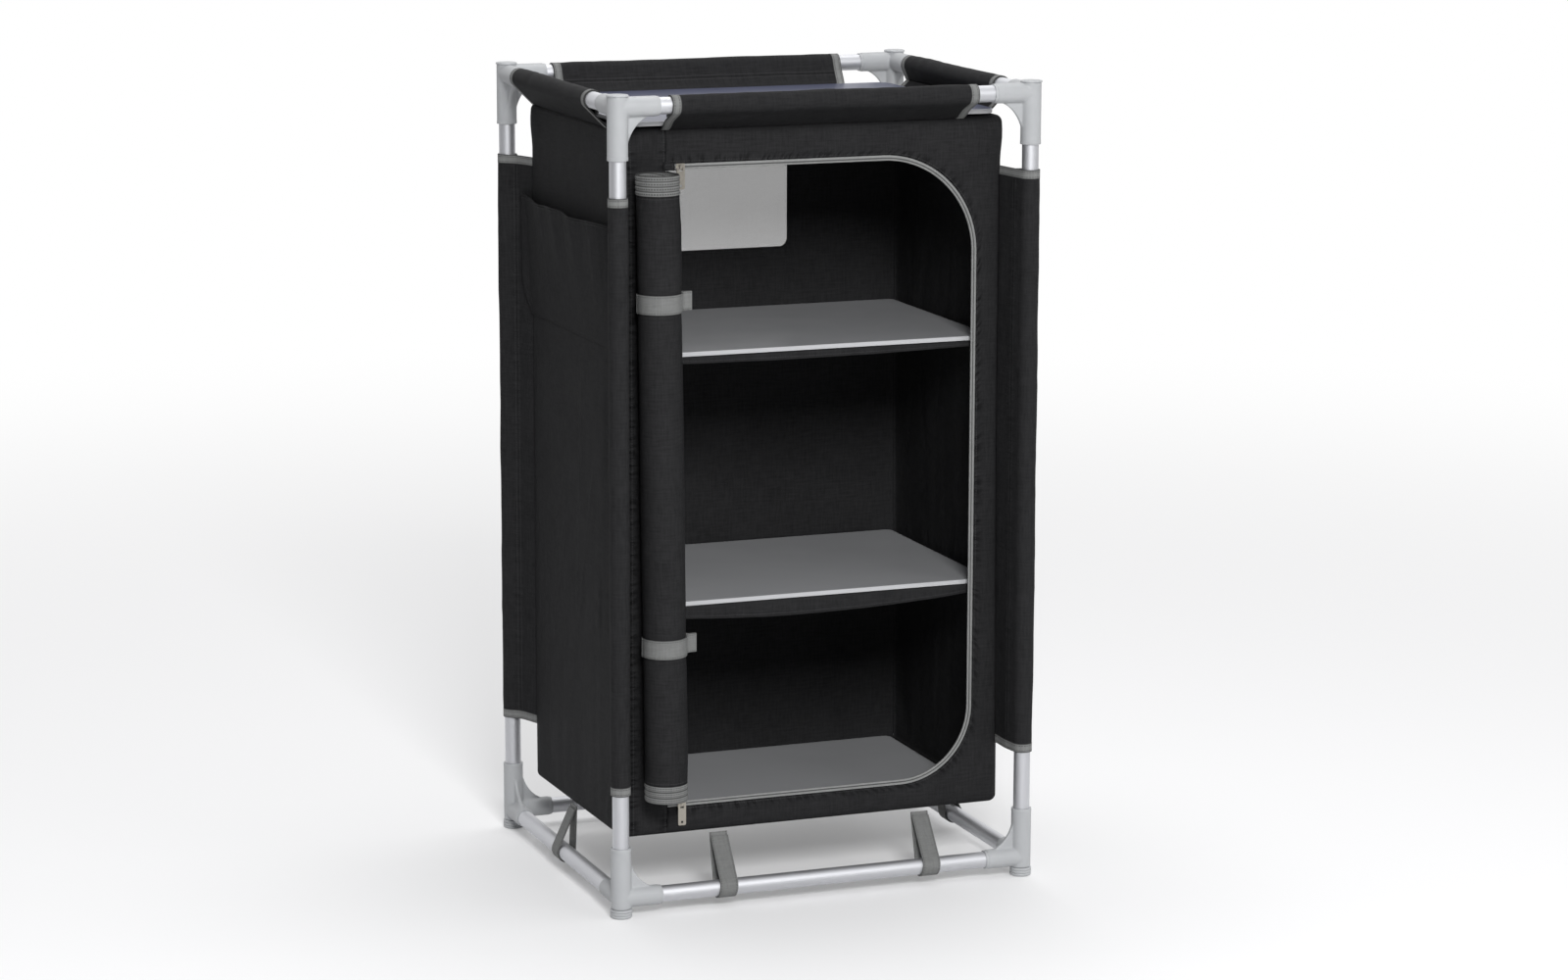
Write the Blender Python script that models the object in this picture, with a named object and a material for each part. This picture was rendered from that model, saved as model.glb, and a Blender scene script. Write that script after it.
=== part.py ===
"""Fabric camp kitchen cupboard on a plug-together tube frame.

Metres, +Z up, +X to the right, the door faces -Y. The origin is on the floor, under the middle of the frame.
A frame of twelve tubes and eight three-way corners holds a cloth box by hemmed sleeves on its posts and top
rails. The box has a rolled door, a vent net, a side pocket, two slung shelf boards, a floor board and a worktop
board that lies in the tray between the top rails.
"""

import math

import bmesh
import bpy
import numpy as np
from mathutils import Matrix, Vector

# Frame: tubes and corners
POST_SPACING_X = 0.573
POST_SPACING_Y = 0.470
LOW_RAIL_HEIGHT = 0.026
TOP_RAIL_HEIGHT = 1.064
TUBE_RADIUS = 0.011
TUBE_WALL = 0.0012
SOCKET_RADIUS = 0.0135
WIDE_RAIL_SOCKET_RADIUS = 0.0132
DEEP_RAIL_SOCKET_RADIUS = 0.0130
SOCKET_CROWN = 0.0140
RAIL_ARM = 0.055
POST_ARM = 0.068
SOCKET_DEPTH = 0.040
WEB_THICKNESS = 0.005
WEB_SETBACK = 0.002
CAP_RADIUS = 0.0145
CAP_THICKNESS = 0.002
CAP_EDGE = 0.0006
CAP_SINK = 0.0005
FOOT_RADIUS = 0.0145
FOOT_RING_GROOVE = 0.0009
FOOT_RINGS = 3
FIT = 0.0003
OVERRUN = 0.010
WELD = 0.00001
ARM_ROOT = 0.0012

# Cloth box
BOX_SIDE_GAP = 0.017
BOX_FRONT_GAP = 0.052
BOX_LIFT = 0.064
BOX_DROP = 0.034
CLOTH = 0.0015

# Hemmed sleeves on rails and posts
HEM_CLOTH = 0.0012
HEM_EASE = 0.0006
HEM_POINT = 0.022
BINDING_WIDTH = 0.012
BINDING_TAPE = 0.0006
FLAP_SLACK = 0.005
WIDE_SLEEVE_GAP = 0.0195
SIDE_SLEEVE_FRONT_GAP = 0.042
SIDE_SLEEVE_REAR_GAP = 0.002
POST_SLEEVE_LOW_GAP = 0.073
POST_SLEEVE_TOP_GAP = 0.043

# Door opening, zip and rolled door
DOOR_SEAM_INSET = 0.066
ZIP_RIGHT_INSET = 0.0395
ZIP_TOP_INSET = 0.051
ZIP_BOTTOM_INSET = 0.041
ZIP_TOP_RADIUS = 0.130
ZIP_BOTTOM_RADIUS = 0.100
ZIP_TAPE_WIDTH = 0.007
SLIDER_INSET = 0.0195
SLIDER_LENGTH = 0.012
SLIDER_PLATE = 0.0012
SLIDER_OVERLAP = 0.0085
BAIL_WIDTH = 0.003
BAIL_WIRE = 0.001
BAIL_SPACE = 0.0024
BAIL_HEIGHT = 0.0026
PULL_WIDTH = 0.011
PULL_LENGTH = 0.030
PULL_THICKNESS = 0.0012
PULL_RIM = 0.0015
PULL_EYE = 0.005
PULL_SLOT = 0.003
PULL_CORNER = 0.002
PULL_STEPS = 3
ROLL_INSET = 0.0185
ROLL_RADIUS = 0.029
ROLL_PITCH = 0.003
ROLL_CLOTH = 0.0015
ROLL_TOP_DROP = 0.0015
ROLL_BOTTOM_LIFT = 0.0135
ROLL_STANDOFF = 0.0012

# Webbing
WEBBING_WIDTH = 0.025
WEBBING = 0.0018
UPPER_STRAP_DROP = 0.1705
LOWER_STRAP_LIFT = 0.2246
STRAP_TAIL_START = 0.0325
STRAP_TAIL_END = 0.0470
STRAP_TAIL_STEP = 0.0046
STRAP_SEWN = 0.0005
STRAP_GAP_TURN = math.radians(3)
STRAP_BACK_TURN = math.radians(72)
STRAP_FRONT_TURN = math.radians(342)
FRONT_TIE_LEFT_INSET = 0.1505
FRONT_TIE_RIGHT_INSET = 0.1325
SIDE_TIE_Y = 0.010
TIE_SEAM_DROP = 0.0025

# Vent window
WINDOW_WIDTH = 0.208
WINDOW_HEIGHT = 0.1395
WINDOW_DROP = 0.075
WINDOW_CORNER = 0.012
NET_MARGIN = 0.008
NET_STRAND = 0.0016
NET_THICKNESS = 0.0008
NET_COLUMNS = 12
NET_ROWS = 8

# Boards and slings
BOARD = 0.006
BOARD_EDGE = 0.0008
WORKTOP_SIDE_INSET = 0.0135
WORKTOP_OVERHANG = 0.0095
WORKTOP_CORNER = 0.018
SHELF_SIDE_GAP = 0.0075
SHELF_FRONT_GAP = 0.012
SHELF_REAR_GAP = 0.005
SHELF_CORNER = 0.010
UPPER_SHELF_RISE = 0.644
LOWER_SHELF_RISE = 0.3114
SLING_INSET = 0.0025
SLING_LIP = 0.016
SLING_SAG = 0.008

# Side pocket
POCKET_HEIGHT = 0.161
POCKET_DROP = 0.128
POCKET_FRONT_INSET = 0.005
POCKET_REAR_INSET = 0.002
POCKET_REAR_REACH = 0.017
POCKET_DEPTH = 0.020
POCKET_FOLD = 0.002
POCKET_FOLDS = 5
POCKET_LIFT_SHARE = 0.35
POCKET_RISE_SHARE = 1.2
POCKET_ARCH_SHARE = 0.6

# Counts of segments
ROUND_STEPS = 16
HEM_STEPS = 12
CORNER_STEPS = 6
ZIP_ARC_STEPS = 10
ROLL_STEPS = 56
STRAP_STEPS = 12
SLING_STEPS = 12
POCKET_STEPS = 24
POCKET_RISE_STEPS = 7
FLAP_STEPS = 5

# Places worked out from the sizes above
POST_X = POST_SPACING_X / 2
POST_Y = POST_SPACING_Y / 2
BOX_X = POST_X - BOX_SIDE_GAP
BOX_Y = POST_Y - BOX_FRONT_GAP
BOX_BOTTOM = LOW_RAIL_HEIGHT + BOX_LIFT
BOX_TOP = TOP_RAIL_HEIGHT - BOX_DROP
INNER_X = BOX_X - CLOTH
INNER_Y = BOX_Y - CLOTH
TUBE_STOP = SOCKET_DEPTH - FIT
SOCKET_BORE = TUBE_RADIUS + FIT
HEM_RADIUS = TUBE_RADIUS + HEM_EASE + HEM_CLOTH / 2
RAIL_BARE_X = POST_X - RAIL_ARM
RAIL_BARE_Y = POST_Y - RAIL_ARM
POST_SLEEVE_BOTTOM = LOW_RAIL_HEIGHT + POST_ARM + POST_SLEEVE_LOW_GAP
POST_SLEEVE_TOP = TOP_RAIL_HEIGHT - POST_ARM - POST_SLEEVE_TOP_GAP
DOOR_SEAM_X = -BOX_X + DOOR_SEAM_INSET
ZIP_RIGHT = BOX_X - ZIP_RIGHT_INSET
ZIP_TOP = BOX_TOP - ZIP_TOP_INSET
ZIP_BOTTOM = BOX_BOTTOM + ZIP_BOTTOM_INSET
SLIDER_X = DOOR_SEAM_X + SLIDER_INSET
ROLL_X = DOOR_SEAM_X - ROLL_INSET
ROLL_Y = -BOX_Y - ROLL_STANDOFF - WEBBING - FIT - ROLL_RADIUS
UPPER_STRAP_HEIGHT = ZIP_TOP - UPPER_STRAP_DROP
LOWER_STRAP_HEIGHT = ZIP_BOTTOM + LOWER_STRAP_LIFT
WINDOW_TOP = BOX_TOP - WINDOW_DROP
WINDOW_BOTTOM = WINDOW_TOP - WINDOW_HEIGHT
SHELF_FRONT = -BOX_Y + SHELF_FRONT_GAP
SHELF_REAR = BOX_Y - SHELF_REAR_GAP
UPPER_SHELF_TOP = BOX_BOTTOM + UPPER_SHELF_RISE
LOWER_SHELF_TOP = BOX_BOTTOM + LOWER_SHELF_RISE
SLING_FRONT = SHELF_FRONT + SLING_INSET
POCKET_TOP = BOX_TOP - POCKET_DROP
POCKET_BOTTOM = POCKET_TOP - POCKET_HEIGHT
POCKET_FRONT = -BOX_Y + POCKET_FRONT_INSET
POCKET_REAR_LOW = BOX_Y - POCKET_REAR_INSET
POCKET_REAR_HIGH = BOX_Y + POCKET_REAR_REACH
CORNERS = {
    "front_left": (-1, -1),
    "front_right": (1, -1),
    "rear_left": (-1, 1),
    "rear_right": (1, 1),
}


def material(name, colour, roughness, metallic=0.0):
    """A Principled material of one colour (sRGB, 0 to 1 each)."""
    made = bpy.data.materials.new(name)
    made.use_nodes = True
    shader = made.node_tree.nodes["Principled BSDF"]
    linear = [c / 12.92 if c <= 0.04045 else ((c + 0.055) / 1.055) ** 2.4 for c in colour]
    shader.inputs["Base Color"].default_value = (*linear, 1.0)
    shader.inputs["Roughness"].default_value = roughness
    shader.inputs["Metallic"].default_value = metallic
    made.diffuse_color = (*linear, 1.0)
    return made


def make_materials():
    """One material for each kind of stuff that the cupboard is made of."""
    return {
        "aluminium": material("satin_aluminium", (0.80, 0.80, 0.82), 0.32, 1.0),
        "corner": material("moulded_grey_nylon", (0.74, 0.75, 0.76), 0.50),
        "cloth": material("black_polyester", (0.15, 0.15, 0.155), 0.90),
        "binding": material("grey_twill_tape", (0.50, 0.50, 0.49), 0.85),
        "webbing": material("grey_webbing", (0.52, 0.52, 0.51), 0.80),
        "net": material("grey_net", (0.62, 0.62, 0.62), 0.80),
        "board": material("grey_laminate_board", (0.56, 0.57, 0.58), 0.30),
        "steel": material("plated_steel", (0.72, 0.71, 0.69), 0.28, 1.0),
    }


def new_object(name, mesh, finish, origin=(0, 0, 0)):
    """Links an object whose mesh is given in world places, with its origin moved to the given point."""
    mesh.transform(Matrix.Translation(-Vector(origin)))
    made = bpy.data.objects.new(name, mesh)
    made.location = origin
    made.data.materials.append(finish)
    bpy.context.scene.collection.objects.link(made)
    return made


def mesh_from(name, bm):
    """Turns a bmesh into a mesh whose faces point outwards."""
    bmesh.ops.recalc_face_normals(bm, faces=bm.faces)
    mesh = bpy.data.meshes.new(name)
    bm.to_mesh(mesh)
    bm.free()
    return mesh


def smooth(made, angle_deg=35.0):
    """Shades the round stretches smooth and keeps the edges sharp."""
    made.data.shade_smooth()
    made.data.set_sharp_from_angle(angle=math.radians(angle_deg))
    return made


def slab(name, low, high, finish, origin=(0, 0, 0)):
    """A flat panel between two corners."""
    low, high = Vector(low), Vector(high)
    bm = bmesh.new()
    bmesh.ops.create_cube(bm, size=1.0)
    bmesh.ops.scale(bm, vec=high - low, verts=bm.verts)
    bmesh.ops.translate(bm, vec=(low + high) / 2, verts=bm.verts)
    return new_object(name, mesh_from(name, bm), finish, origin)


def prism(name, outline, place, finish, origin=(0, 0, 0)):
    """A flat outline of (a, b) points carried from place(a, b, 0) to place(a, b, 1)."""
    bm = bmesh.new()
    base = [bm.verts.new(place(a, b, 0)) for a, b in outline]
    face = bm.faces.new(base)
    grown = bmesh.ops.extrude_face_region(bm, geom=[face], use_keep_orig=True)
    lifted = [v for v in grown["geom"] if isinstance(v, bmesh.types.BMVert)]
    for vert, (a, b) in zip(lifted, outline_order(lifted, outline, place)):
        vert.co = place(a, b, 1)
    return new_object(name, mesh_from(name, bm), finish, origin)


def outline_order(lifted, outline, place):
    """The outline's point under each lifted vertex."""
    starts = [Vector(place(a, b, 0)) for a, b in outline]
    return [outline[min(range(len(starts)), key=lambda i: (starts[i] - v.co).length)] for v in lifted]


def rounded_rectangle(low, high, radii, steps=CORNER_STEPS):
    """Outline of a rectangle with a radius at each corner: lower left, lower right, upper right, upper left."""
    (x0, y0), (x1, y1) = low, high
    signs = ((1, 1, 180), (-1, 1, 270), (-1, -1, 0), (1, -1, 90))
    corners = ((x0, y0), (x1, y0), (x1, y1), (x0, y1))
    outline = []
    for (x, y), (sx, sy, start), radius in zip(corners, signs, radii):
        if radius == 0:
            outline.append((x, y))
            continue
        centre = (x + sx * radius, y + sy * radius)
        for k in range(steps + 1):
            turn = math.radians(start + 90 * k / steps)
            outline.append((centre[0] + radius * math.cos(turn), centre[1] + radius * math.sin(turn)))
    return outline


def turned(name, profile, start, direction, finish):
    """A body turned from a closed profile of (radius, height) points about a line from start along direction."""
    bm = bmesh.new()
    verts = [bm.verts.new((r, 0, h)) for r, h in profile]
    edges = [bm.edges.new((verts[i], verts[(i + 1) % len(verts)])) for i in range(len(verts))]
    bmesh.ops.spin(
        bm,
        geom=verts + edges,
        axis=(0, 0, 1),
        cent=(0, 0, 0),
        angle=math.tau,
        steps=ROUND_STEPS,
        use_merge=True,
    )
    bmesh.ops.remove_doubles(bm, verts=bm.verts, dist=WELD)
    turn = Vector(direction).to_track_quat("Z", "Y").to_matrix().to_4x4()
    bmesh.ops.transform(bm, matrix=Matrix.Translation(start) @ turn, verts=bm.verts)
    return smooth(new_object(name, mesh_from(name, bm), finish))


def pipe(name, start, end, finish):
    """A straight tube with an open bore."""
    start, end = Vector(start), Vector(end)
    length = (end - start).length
    bore = TUBE_RADIUS - TUBE_WALL
    profile = [(bore, 0), (TUBE_RADIUS, 0), (TUBE_RADIUS, length), (bore, length)]
    return turned(name, profile, start, end - start, finish)


def rod(name, start, end, radius):
    """A solid cylinder used to build up or cut a corner."""
    start, end = Vector(start), Vector(end)
    bm = bmesh.new()
    turn = (end - start).to_track_quat("Z", "Y").to_matrix().to_4x4()
    bmesh.ops.create_cone(
        bm,
        cap_ends=True,
        segments=ROUND_STEPS,
        radius1=radius,
        radius2=radius,
        depth=(end - start).length,
        matrix=Matrix.Translation((start + end) / 2) @ turn,
    )
    made = bpy.data.objects.new(name, mesh_from(name, bm))
    bpy.context.scene.collection.objects.link(made)
    return made


def combine(target, others, operation):
    """Unites or cuts target with the others, in the exact solver, and removes them."""
    for other in others:
        step = target.modifiers.new(operation.lower(), "BOOLEAN")
        step.operation = operation
        step.solver = "EXACT"
        step.object = other
    bpy.context.view_layer.update()
    evaluated = target.evaluated_get(bpy.context.evaluated_depsgraph_get())
    mesh = bpy.data.meshes.new_from_object(evaluated)
    target.modifiers.clear()
    target.data = mesh
    for other in others:
        bpy.data.objects.remove(other)
    return target


def cloth_solid(name, grid, thickness, finish, origin=(0, 0, 0)):
    """A sheet of cloth or webbing: a grid of points (rows, columns, 3) given a thickness, half to each side."""
    rows, columns, _ = grid.shape
    bm = bmesh.new()
    verts = [bm.verts.new(point) for point in grid.reshape(-1, 3)]
    for i in range(rows - 1):
        for j in range(columns - 1):
            a, b = i * columns + j, (i + 1) * columns + j
            bm.faces.new((verts[a], verts[a + 1], verts[b + 1], verts[b]))
    mesh = bpy.data.meshes.new(name)
    bm.to_mesh(mesh)
    bm.free()
    made = new_object(name, mesh, finish, origin)
    shell = made.modifiers.new("cloth", "SOLIDIFY")
    shell.thickness = thickness
    shell.offset = 0.0
    shell.use_even_offset = True
    return made


def ribbon(path, low, high, place):
    """Grid of a flat path of (a, b) points carried from height low to height high by place(a, b, h)."""
    return np.array([[place(a, b, h) for h in (low, high)] for a, b in path], float)


def band_outline(path, thickness):
    """Closed outline of a flat strip of the given thickness along a path of (a, b) points, mitred at its bends."""
    path = np.asarray(path, float)
    ways = np.diff(path, axis=0)
    ways /= np.linalg.norm(ways, axis=1)[:, None]
    before, after = np.vstack([ways[:1], ways]), np.vstack([ways, ways[-1:]])
    mitre = before + after
    mitre /= np.linalg.norm(mitre, axis=1)[:, None]
    mitre /= np.sum(mitre * after, axis=1)[:, None]
    across = np.stack([-mitre[:, 1], mitre[:, 0]], 1) * thickness / 2
    return np.vstack([path + across, (path - across)[::-1]])


def stepped_band(name, path, sections, place, finish):
    """A strip along a flat path, carried through sections of (height, thickness): bound ends stand proud."""
    bm = bmesh.new()
    rings = [
        [bm.verts.new(place(a, b, height)) for a, b in band_outline(path, thickness)]
        for height, thickness in sections
    ]
    for low, high in zip(rings, rings[1:]):
        for i in range(len(low)):
            bm.faces.new((low[i - 1], low[i], high[i], high[i - 1]))
    bm.faces.new(rings[0])
    bm.faces.new(rings[-1])
    return smooth(new_object(name, mesh_from(name, bm), finish))


def in_plan(a, b, h):
    """A path drawn in plan (x, y), carried up z."""
    return (a, b, h)


def in_side_view(a, b, h):
    """A path drawn in side view (y, z), carried along x."""
    return (h, a, b)


def in_front_view(a, b, h):
    """A path drawn in front view (x, z), carried along y."""
    return (a, h, b)


def unit(vector):
    """The vector at length one."""
    return np.asarray(vector, float) / np.linalg.norm(vector)


def arc_points(centre, radius, start, end, steps):
    """Points on an arc, from the start angle to the end angle, in radians."""
    turns = np.linspace(start, end, steps + 1)
    return np.stack([centre[0] + radius * np.cos(turns), centre[1] + radius * np.sin(turns)], 1)


def teardrop(axis, point, radius, thickness, turning, steps=HEM_STEPS):
    """A loop of cloth from a point to a tube at axis, round it, and back to just short of the point.

    The two straight legs touch the circle of the given radius. The last one ends where cloth of the given
    thickness comes within the fit of the first one. turning is 1 or -1, the way round."""
    axis, point = np.asarray(axis, float), np.asarray(point, float)
    reach = np.linalg.norm(point - axis)
    heading = math.atan2(*(point - axis)[::-1])
    spread = math.acos(radius / reach)
    start = heading + turning * spread
    end = heading - turning * spread + turning * math.tau
    arc = arc_points(axis, radius, start, end, steps)
    between = math.pi - 2 * spread
    short = (FIT + thickness / 2 * (1 + math.cos(between))) / math.sin(between)
    last = point + unit(arc[-1] - point) * short
    return np.vstack([point, arc, last])


def hem_path(axis, corner, slack, turning):
    """The cloth of a hemmed sleeve in section: from the box's corner seam to the hem point, then round the tube.

    The run from the seam hangs in a parabola of the given slack below its chord."""
    axis, corner = np.asarray(axis, float), np.asarray(corner, float)
    toward = unit(axis - corner)
    seam = corner + toward * FIT
    point = axis - toward * HEM_POINT
    share = np.linspace(0, 1, FLAP_STEPS + 1)[:-1]
    run = seam + (point - seam) * share[:, None]
    run[:, 1] -= 4 * slack * share * (1 - share)
    return np.vstack([run, teardrop(axis, point, HEM_RADIUS, HEM_CLOTH + BINDING_TAPE, turning)])


def corner_piece(name, side_x, side_y, upper, finish):
    """A three-way corner: a socket for a post, two for rails, and a concave web between the post and each rail."""
    height = TOP_RAIL_HEIGHT if upper else LOW_RAIL_HEIGHT
    away = -1 if upper else 1
    centre = Vector((side_x * POST_X, side_y * POST_Y, height))
    post_way = Vector((0, 0, away))
    ways = [Vector((-side_x, 0, 0)), Vector((0, -side_y, 0))]
    body = rod(name, centre - post_way * SOCKET_CROWN, centre + post_way * POST_ARM, SOCKET_RADIUS)
    added = [
        rod("rail_arm", centre - way * ARM_ROOT, centre + way * RAIL_ARM, radius)
        for way, radius in zip(ways, (WIDE_RAIL_SOCKET_RADIUS, DEEP_RAIL_SOCKET_RADIUS))
    ]
    for way in ways:
        across = way.cross(post_way)
        rail_reach = RAIL_ARM - WEB_SETBACK
        post_reach = POST_ARM - WEB_SETBACK
        wide = rail_reach - TUBE_RADIUS
        tall = post_reach - TUBE_RADIUS
        turns = [math.radians(90 - 90 * k / CORNER_STEPS) for k in range(CORNER_STEPS + 1)]
        curve = [(rail_reach - wide * math.cos(t), post_reach - tall * math.sin(t)) for t in turns]
        outline = [(ARM_ROOT, ARM_ROOT), (rail_reach, ARM_ROOT), *curve, (ARM_ROOT, post_reach)]

        def place(a, b, side, way=way, across=across):
            return centre + way * a + post_way * b + across * (side - 1 / 2) * WEB_THICKNESS

        added.append(prism("web", outline, place, finish))
    if upper:
        added.append(disc_cap(centre, finish))
    combine(body, added, "UNION")
    cuts = [
        rod("bore", centre + way * (reach - SOCKET_DEPTH), centre + way * (reach + OVERRUN), SOCKET_BORE)
        for way, reach in ((post_way, POST_ARM), (ways[0], RAIL_ARM), (ways[1], RAIL_ARM))
    ]
    combine(body, cuts, "DIFFERENCE")
    body.data.materials.clear()
    body.data.materials.append(finish)
    return smooth(body)


def make_frame(mats):
    """Corners, caps, feet, posts and rails."""
    for place, (sx, sy) in CORNERS.items():
        corner_piece(f"upper_corner_{place}", sx, sy, True, mats["corner"])
        corner_piece(f"lower_corner_{place}", sx, sy, False, mats["corner"])
        x, y = sx * POST_X, sy * POST_Y
        low = LOW_RAIL_HEIGHT + POST_ARM - TUBE_STOP
        high = TOP_RAIL_HEIGHT - POST_ARM + TUBE_STOP
        pipe(f"post_{place}", (x, y, low), (x, y, high), mats["aluminium"])
        foot_cap(f"foot_cap_{place}", x, y, mats["corner"])
    reach_x = POST_X - RAIL_ARM + TUBE_STOP
    reach_y = POST_Y - RAIL_ARM + TUBE_STOP
    for level, z in (("top", TOP_RAIL_HEIGHT), ("bottom", LOW_RAIL_HEIGHT)):
        for side, y in (("front", -POST_Y), ("rear", POST_Y)):
            pipe(f"{level}_rail_{side}", (-reach_x, y, z), (reach_x, y, z), mats["aluminium"])
        for side, x in (("left", -POST_X), ("right", POST_X)):
            pipe(f"{level}_rail_{side}", (x, -reach_y, z), (x, reach_y, z), mats["aluminium"])


def foot_cap(name, x, y, finish):
    """A foot cap with raised rings round it."""
    height = LOW_RAIL_HEIGHT - SOCKET_CROWN - FIT
    band = height / (2 * FOOT_RINGS - 1)
    side = []
    for k in range(2 * FOOT_RINGS - 1):
        radius = FOOT_RADIUS - (k % 2) * FOOT_RING_GROOVE
        side += [(radius, k * band), (radius, (k + 1) * band)]
    profile = [(0, 0), *side, (0, height)]
    return turned(name, profile, (x, y, 0), (0, 0, 1), finish)


def disc_cap(centre, finish):
    """The disc with an eased rim that is let down over the top of an upper corner."""
    inner = CAP_RADIUS - CAP_EDGE
    shoulder = CAP_THICKNESS - CAP_EDGE
    side = [(CAP_RADIUS, -CAP_SINK), (CAP_RADIUS, shoulder), (inner, CAP_THICKNESS)]
    profile = [(0, -CAP_SINK), *side, (0, CAP_THICKNESS)]
    return turned("cap", profile, centre + Vector((0, 0, SOCKET_CROWN)), (0, 0, 1), finish)


def zip_outline(inset, steps=ZIP_ARC_STEPS):
    """The zip's line as (x, z) points, moved inwards by inset: top run, two round corners and bottom run."""
    right = ZIP_RIGHT - inset
    top_centre = (ZIP_RIGHT - ZIP_TOP_RADIUS, ZIP_TOP - ZIP_TOP_RADIUS)
    low_centre = (ZIP_RIGHT - ZIP_BOTTOM_RADIUS, ZIP_BOTTOM + ZIP_BOTTOM_RADIUS)
    top = arc_points(top_centre, right - top_centre[0], math.pi / 2, 0, steps)
    low = arc_points(low_centre, right - low_centre[0], 0, -math.pi / 2, steps)
    start = (DOOR_SEAM_X + FIT, ZIP_TOP - inset)
    end = (DOOR_SEAM_X + FIT, ZIP_BOTTOM + inset)
    return np.vstack([start, top, low, end])


def make_panels(mats):
    """The six cloth walls of the box, the front one cut for the door and the rear one for the window."""
    cloth = mats["cloth"]
    under_top = BOX_TOP - CLOTH - FIT
    front = slab("front_panel", (-BOX_X, -BOX_Y, BOX_BOTTOM), (BOX_X, -INNER_Y, under_top), cloth)
    hole = zip_outline(-ZIP_TAPE_WIDTH / 2 - FIT)
    hole[[0, -1], 0] = DOOR_SEAM_X

    def through_front(a, b, side):
        return (a, -BOX_Y - OVERRUN + side * (CLOTH + 2 * OVERRUN), b)

    door_cut = prism("door_cut", [tuple(p) for p in hole], through_front, cloth)
    combine(front, [door_cut], "DIFFERENCE")
    rear = slab("rear_panel", (-BOX_X, INNER_Y, BOX_BOTTOM), (BOX_X, BOX_Y, under_top), cloth)

    def through_rear(a, b, side):
        return (a, BOX_Y + OVERRUN - side * (CLOTH + 2 * OVERRUN), b)

    half = WINDOW_WIDTH / 2
    window = rounded_rectangle((-half, WINDOW_BOTTOM), (half, WINDOW_TOP), [WINDOW_CORNER] * 4)
    window_cut = prism("window_cut", window, through_rear, cloth)
    combine(rear, [window_cut], "DIFFERENCE")
    side_y = INNER_Y - FIT
    slab("left_panel", (-BOX_X, -side_y, BOX_BOTTOM), (-INNER_X, side_y, under_top), cloth)
    slab("right_panel", (INNER_X, -side_y, BOX_BOTTOM), (BOX_X, side_y, under_top), cloth)
    slab("top_panel", (-BOX_X, -BOX_Y, BOX_TOP - CLOTH), (BOX_X, BOX_Y, BOX_TOP), cloth)
    floor_x = INNER_X - FIT
    slab("floor_panel", (-floor_x, -side_y, BOX_BOTTOM), (floor_x, side_y, BOX_BOTTOM + CLOTH), cloth)


def make_vent_net(mats):
    """A net of square gaps behind the window: every cell of a grid is inset and opened."""
    low = Vector((-WINDOW_WIDTH / 2 - NET_MARGIN, 0, WINDOW_BOTTOM - NET_MARGIN))
    high = Vector((WINDOW_WIDTH / 2 + NET_MARGIN, 0, WINDOW_TOP + NET_MARGIN))
    y = INNER_Y - FIT - NET_THICKNESS / 2
    bm = bmesh.new()
    bmesh.ops.create_grid(bm, x_segments=NET_COLUMNS, y_segments=NET_ROWS, size=1 / 2)
    size, middle = high - low, (low + high) / 2
    for vert in bm.verts:
        vert.co = Vector((middle.x + vert.co.x * size.x, y, middle.z + vert.co.y * size.z))
    bm.normal_update()
    cells = list(bm.faces)
    bmesh.ops.inset_individual(bm, faces=cells, thickness=NET_STRAND / 2, use_even_offset=True)
    bmesh.ops.delete(bm, geom=cells, context="FACES_ONLY")
    mesh = bpy.data.meshes.new("vent_mesh")
    bm.to_mesh(mesh)
    bm.free()
    net = new_object("vent_mesh", mesh, mats["net"])
    shell = net.modifiers.new("strands", "SOLIDIFY")
    shell.thickness = NET_THICKNESS
    shell.offset = 0.0


def make_sleeves(mats):
    """Hemmed sleeves with their flaps and wings. Both ends of each are bound with tape."""
    half = RAIL_BARE_X - WIDE_SLEEVE_GAP
    for side, sign in (("front", -1), ("rear", 1)):
        sleeve(f"rail_sleeve_{side}", wide_flap(sign), -half, half, in_side_view, mats["cloth"])
    low, high = -RAIL_BARE_Y + SIDE_SLEEVE_FRONT_GAP, RAIL_BARE_Y - SIDE_SLEEVE_REAR_GAP
    for side, sign in (("left", -1), ("right", 1)):
        path = hem_path((sign * POST_X, TOP_RAIL_HEIGHT), (sign * BOX_X, BOX_TOP), 0, sign)
        sleeve(f"rail_sleeve_{side}", path, low, high, in_front_view, mats["cloth"])
    for place, (sx, sy) in CORNERS.items():
        path = hem_path((sx * POST_X, sy * POST_Y), (sx * BOX_X, sy * BOX_Y), 0, sx * sy)
        sleeve(f"post_sleeve_{place}", path, POST_SLEEVE_BOTTOM, POST_SLEEVE_TOP, in_plan, mats["cloth"])


def wide_flap(sign):
    """The front (-1) or rear (1) sleeve in section, whose slack flap is wide enough for the worktop to lie on."""
    return hem_path((sign * POST_Y, TOP_RAIL_HEIGHT), (sign * BOX_Y, BOX_TOP), FLAP_SLACK, sign)


def sleeve(name, path, low, high, place, finish):
    """One sleeve: its cloth between two tape bindings."""
    bound = HEM_CLOTH + BINDING_TAPE
    sections = [
        (low, bound),
        (low + BINDING_WIDTH, bound),
        (low + BINDING_WIDTH, HEM_CLOTH),
        (high - BINDING_WIDTH, HEM_CLOTH),
        (high - BINDING_WIDTH, bound),
        (high, bound),
    ]
    return stepped_band(name, path, sections, place, finish)


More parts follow.
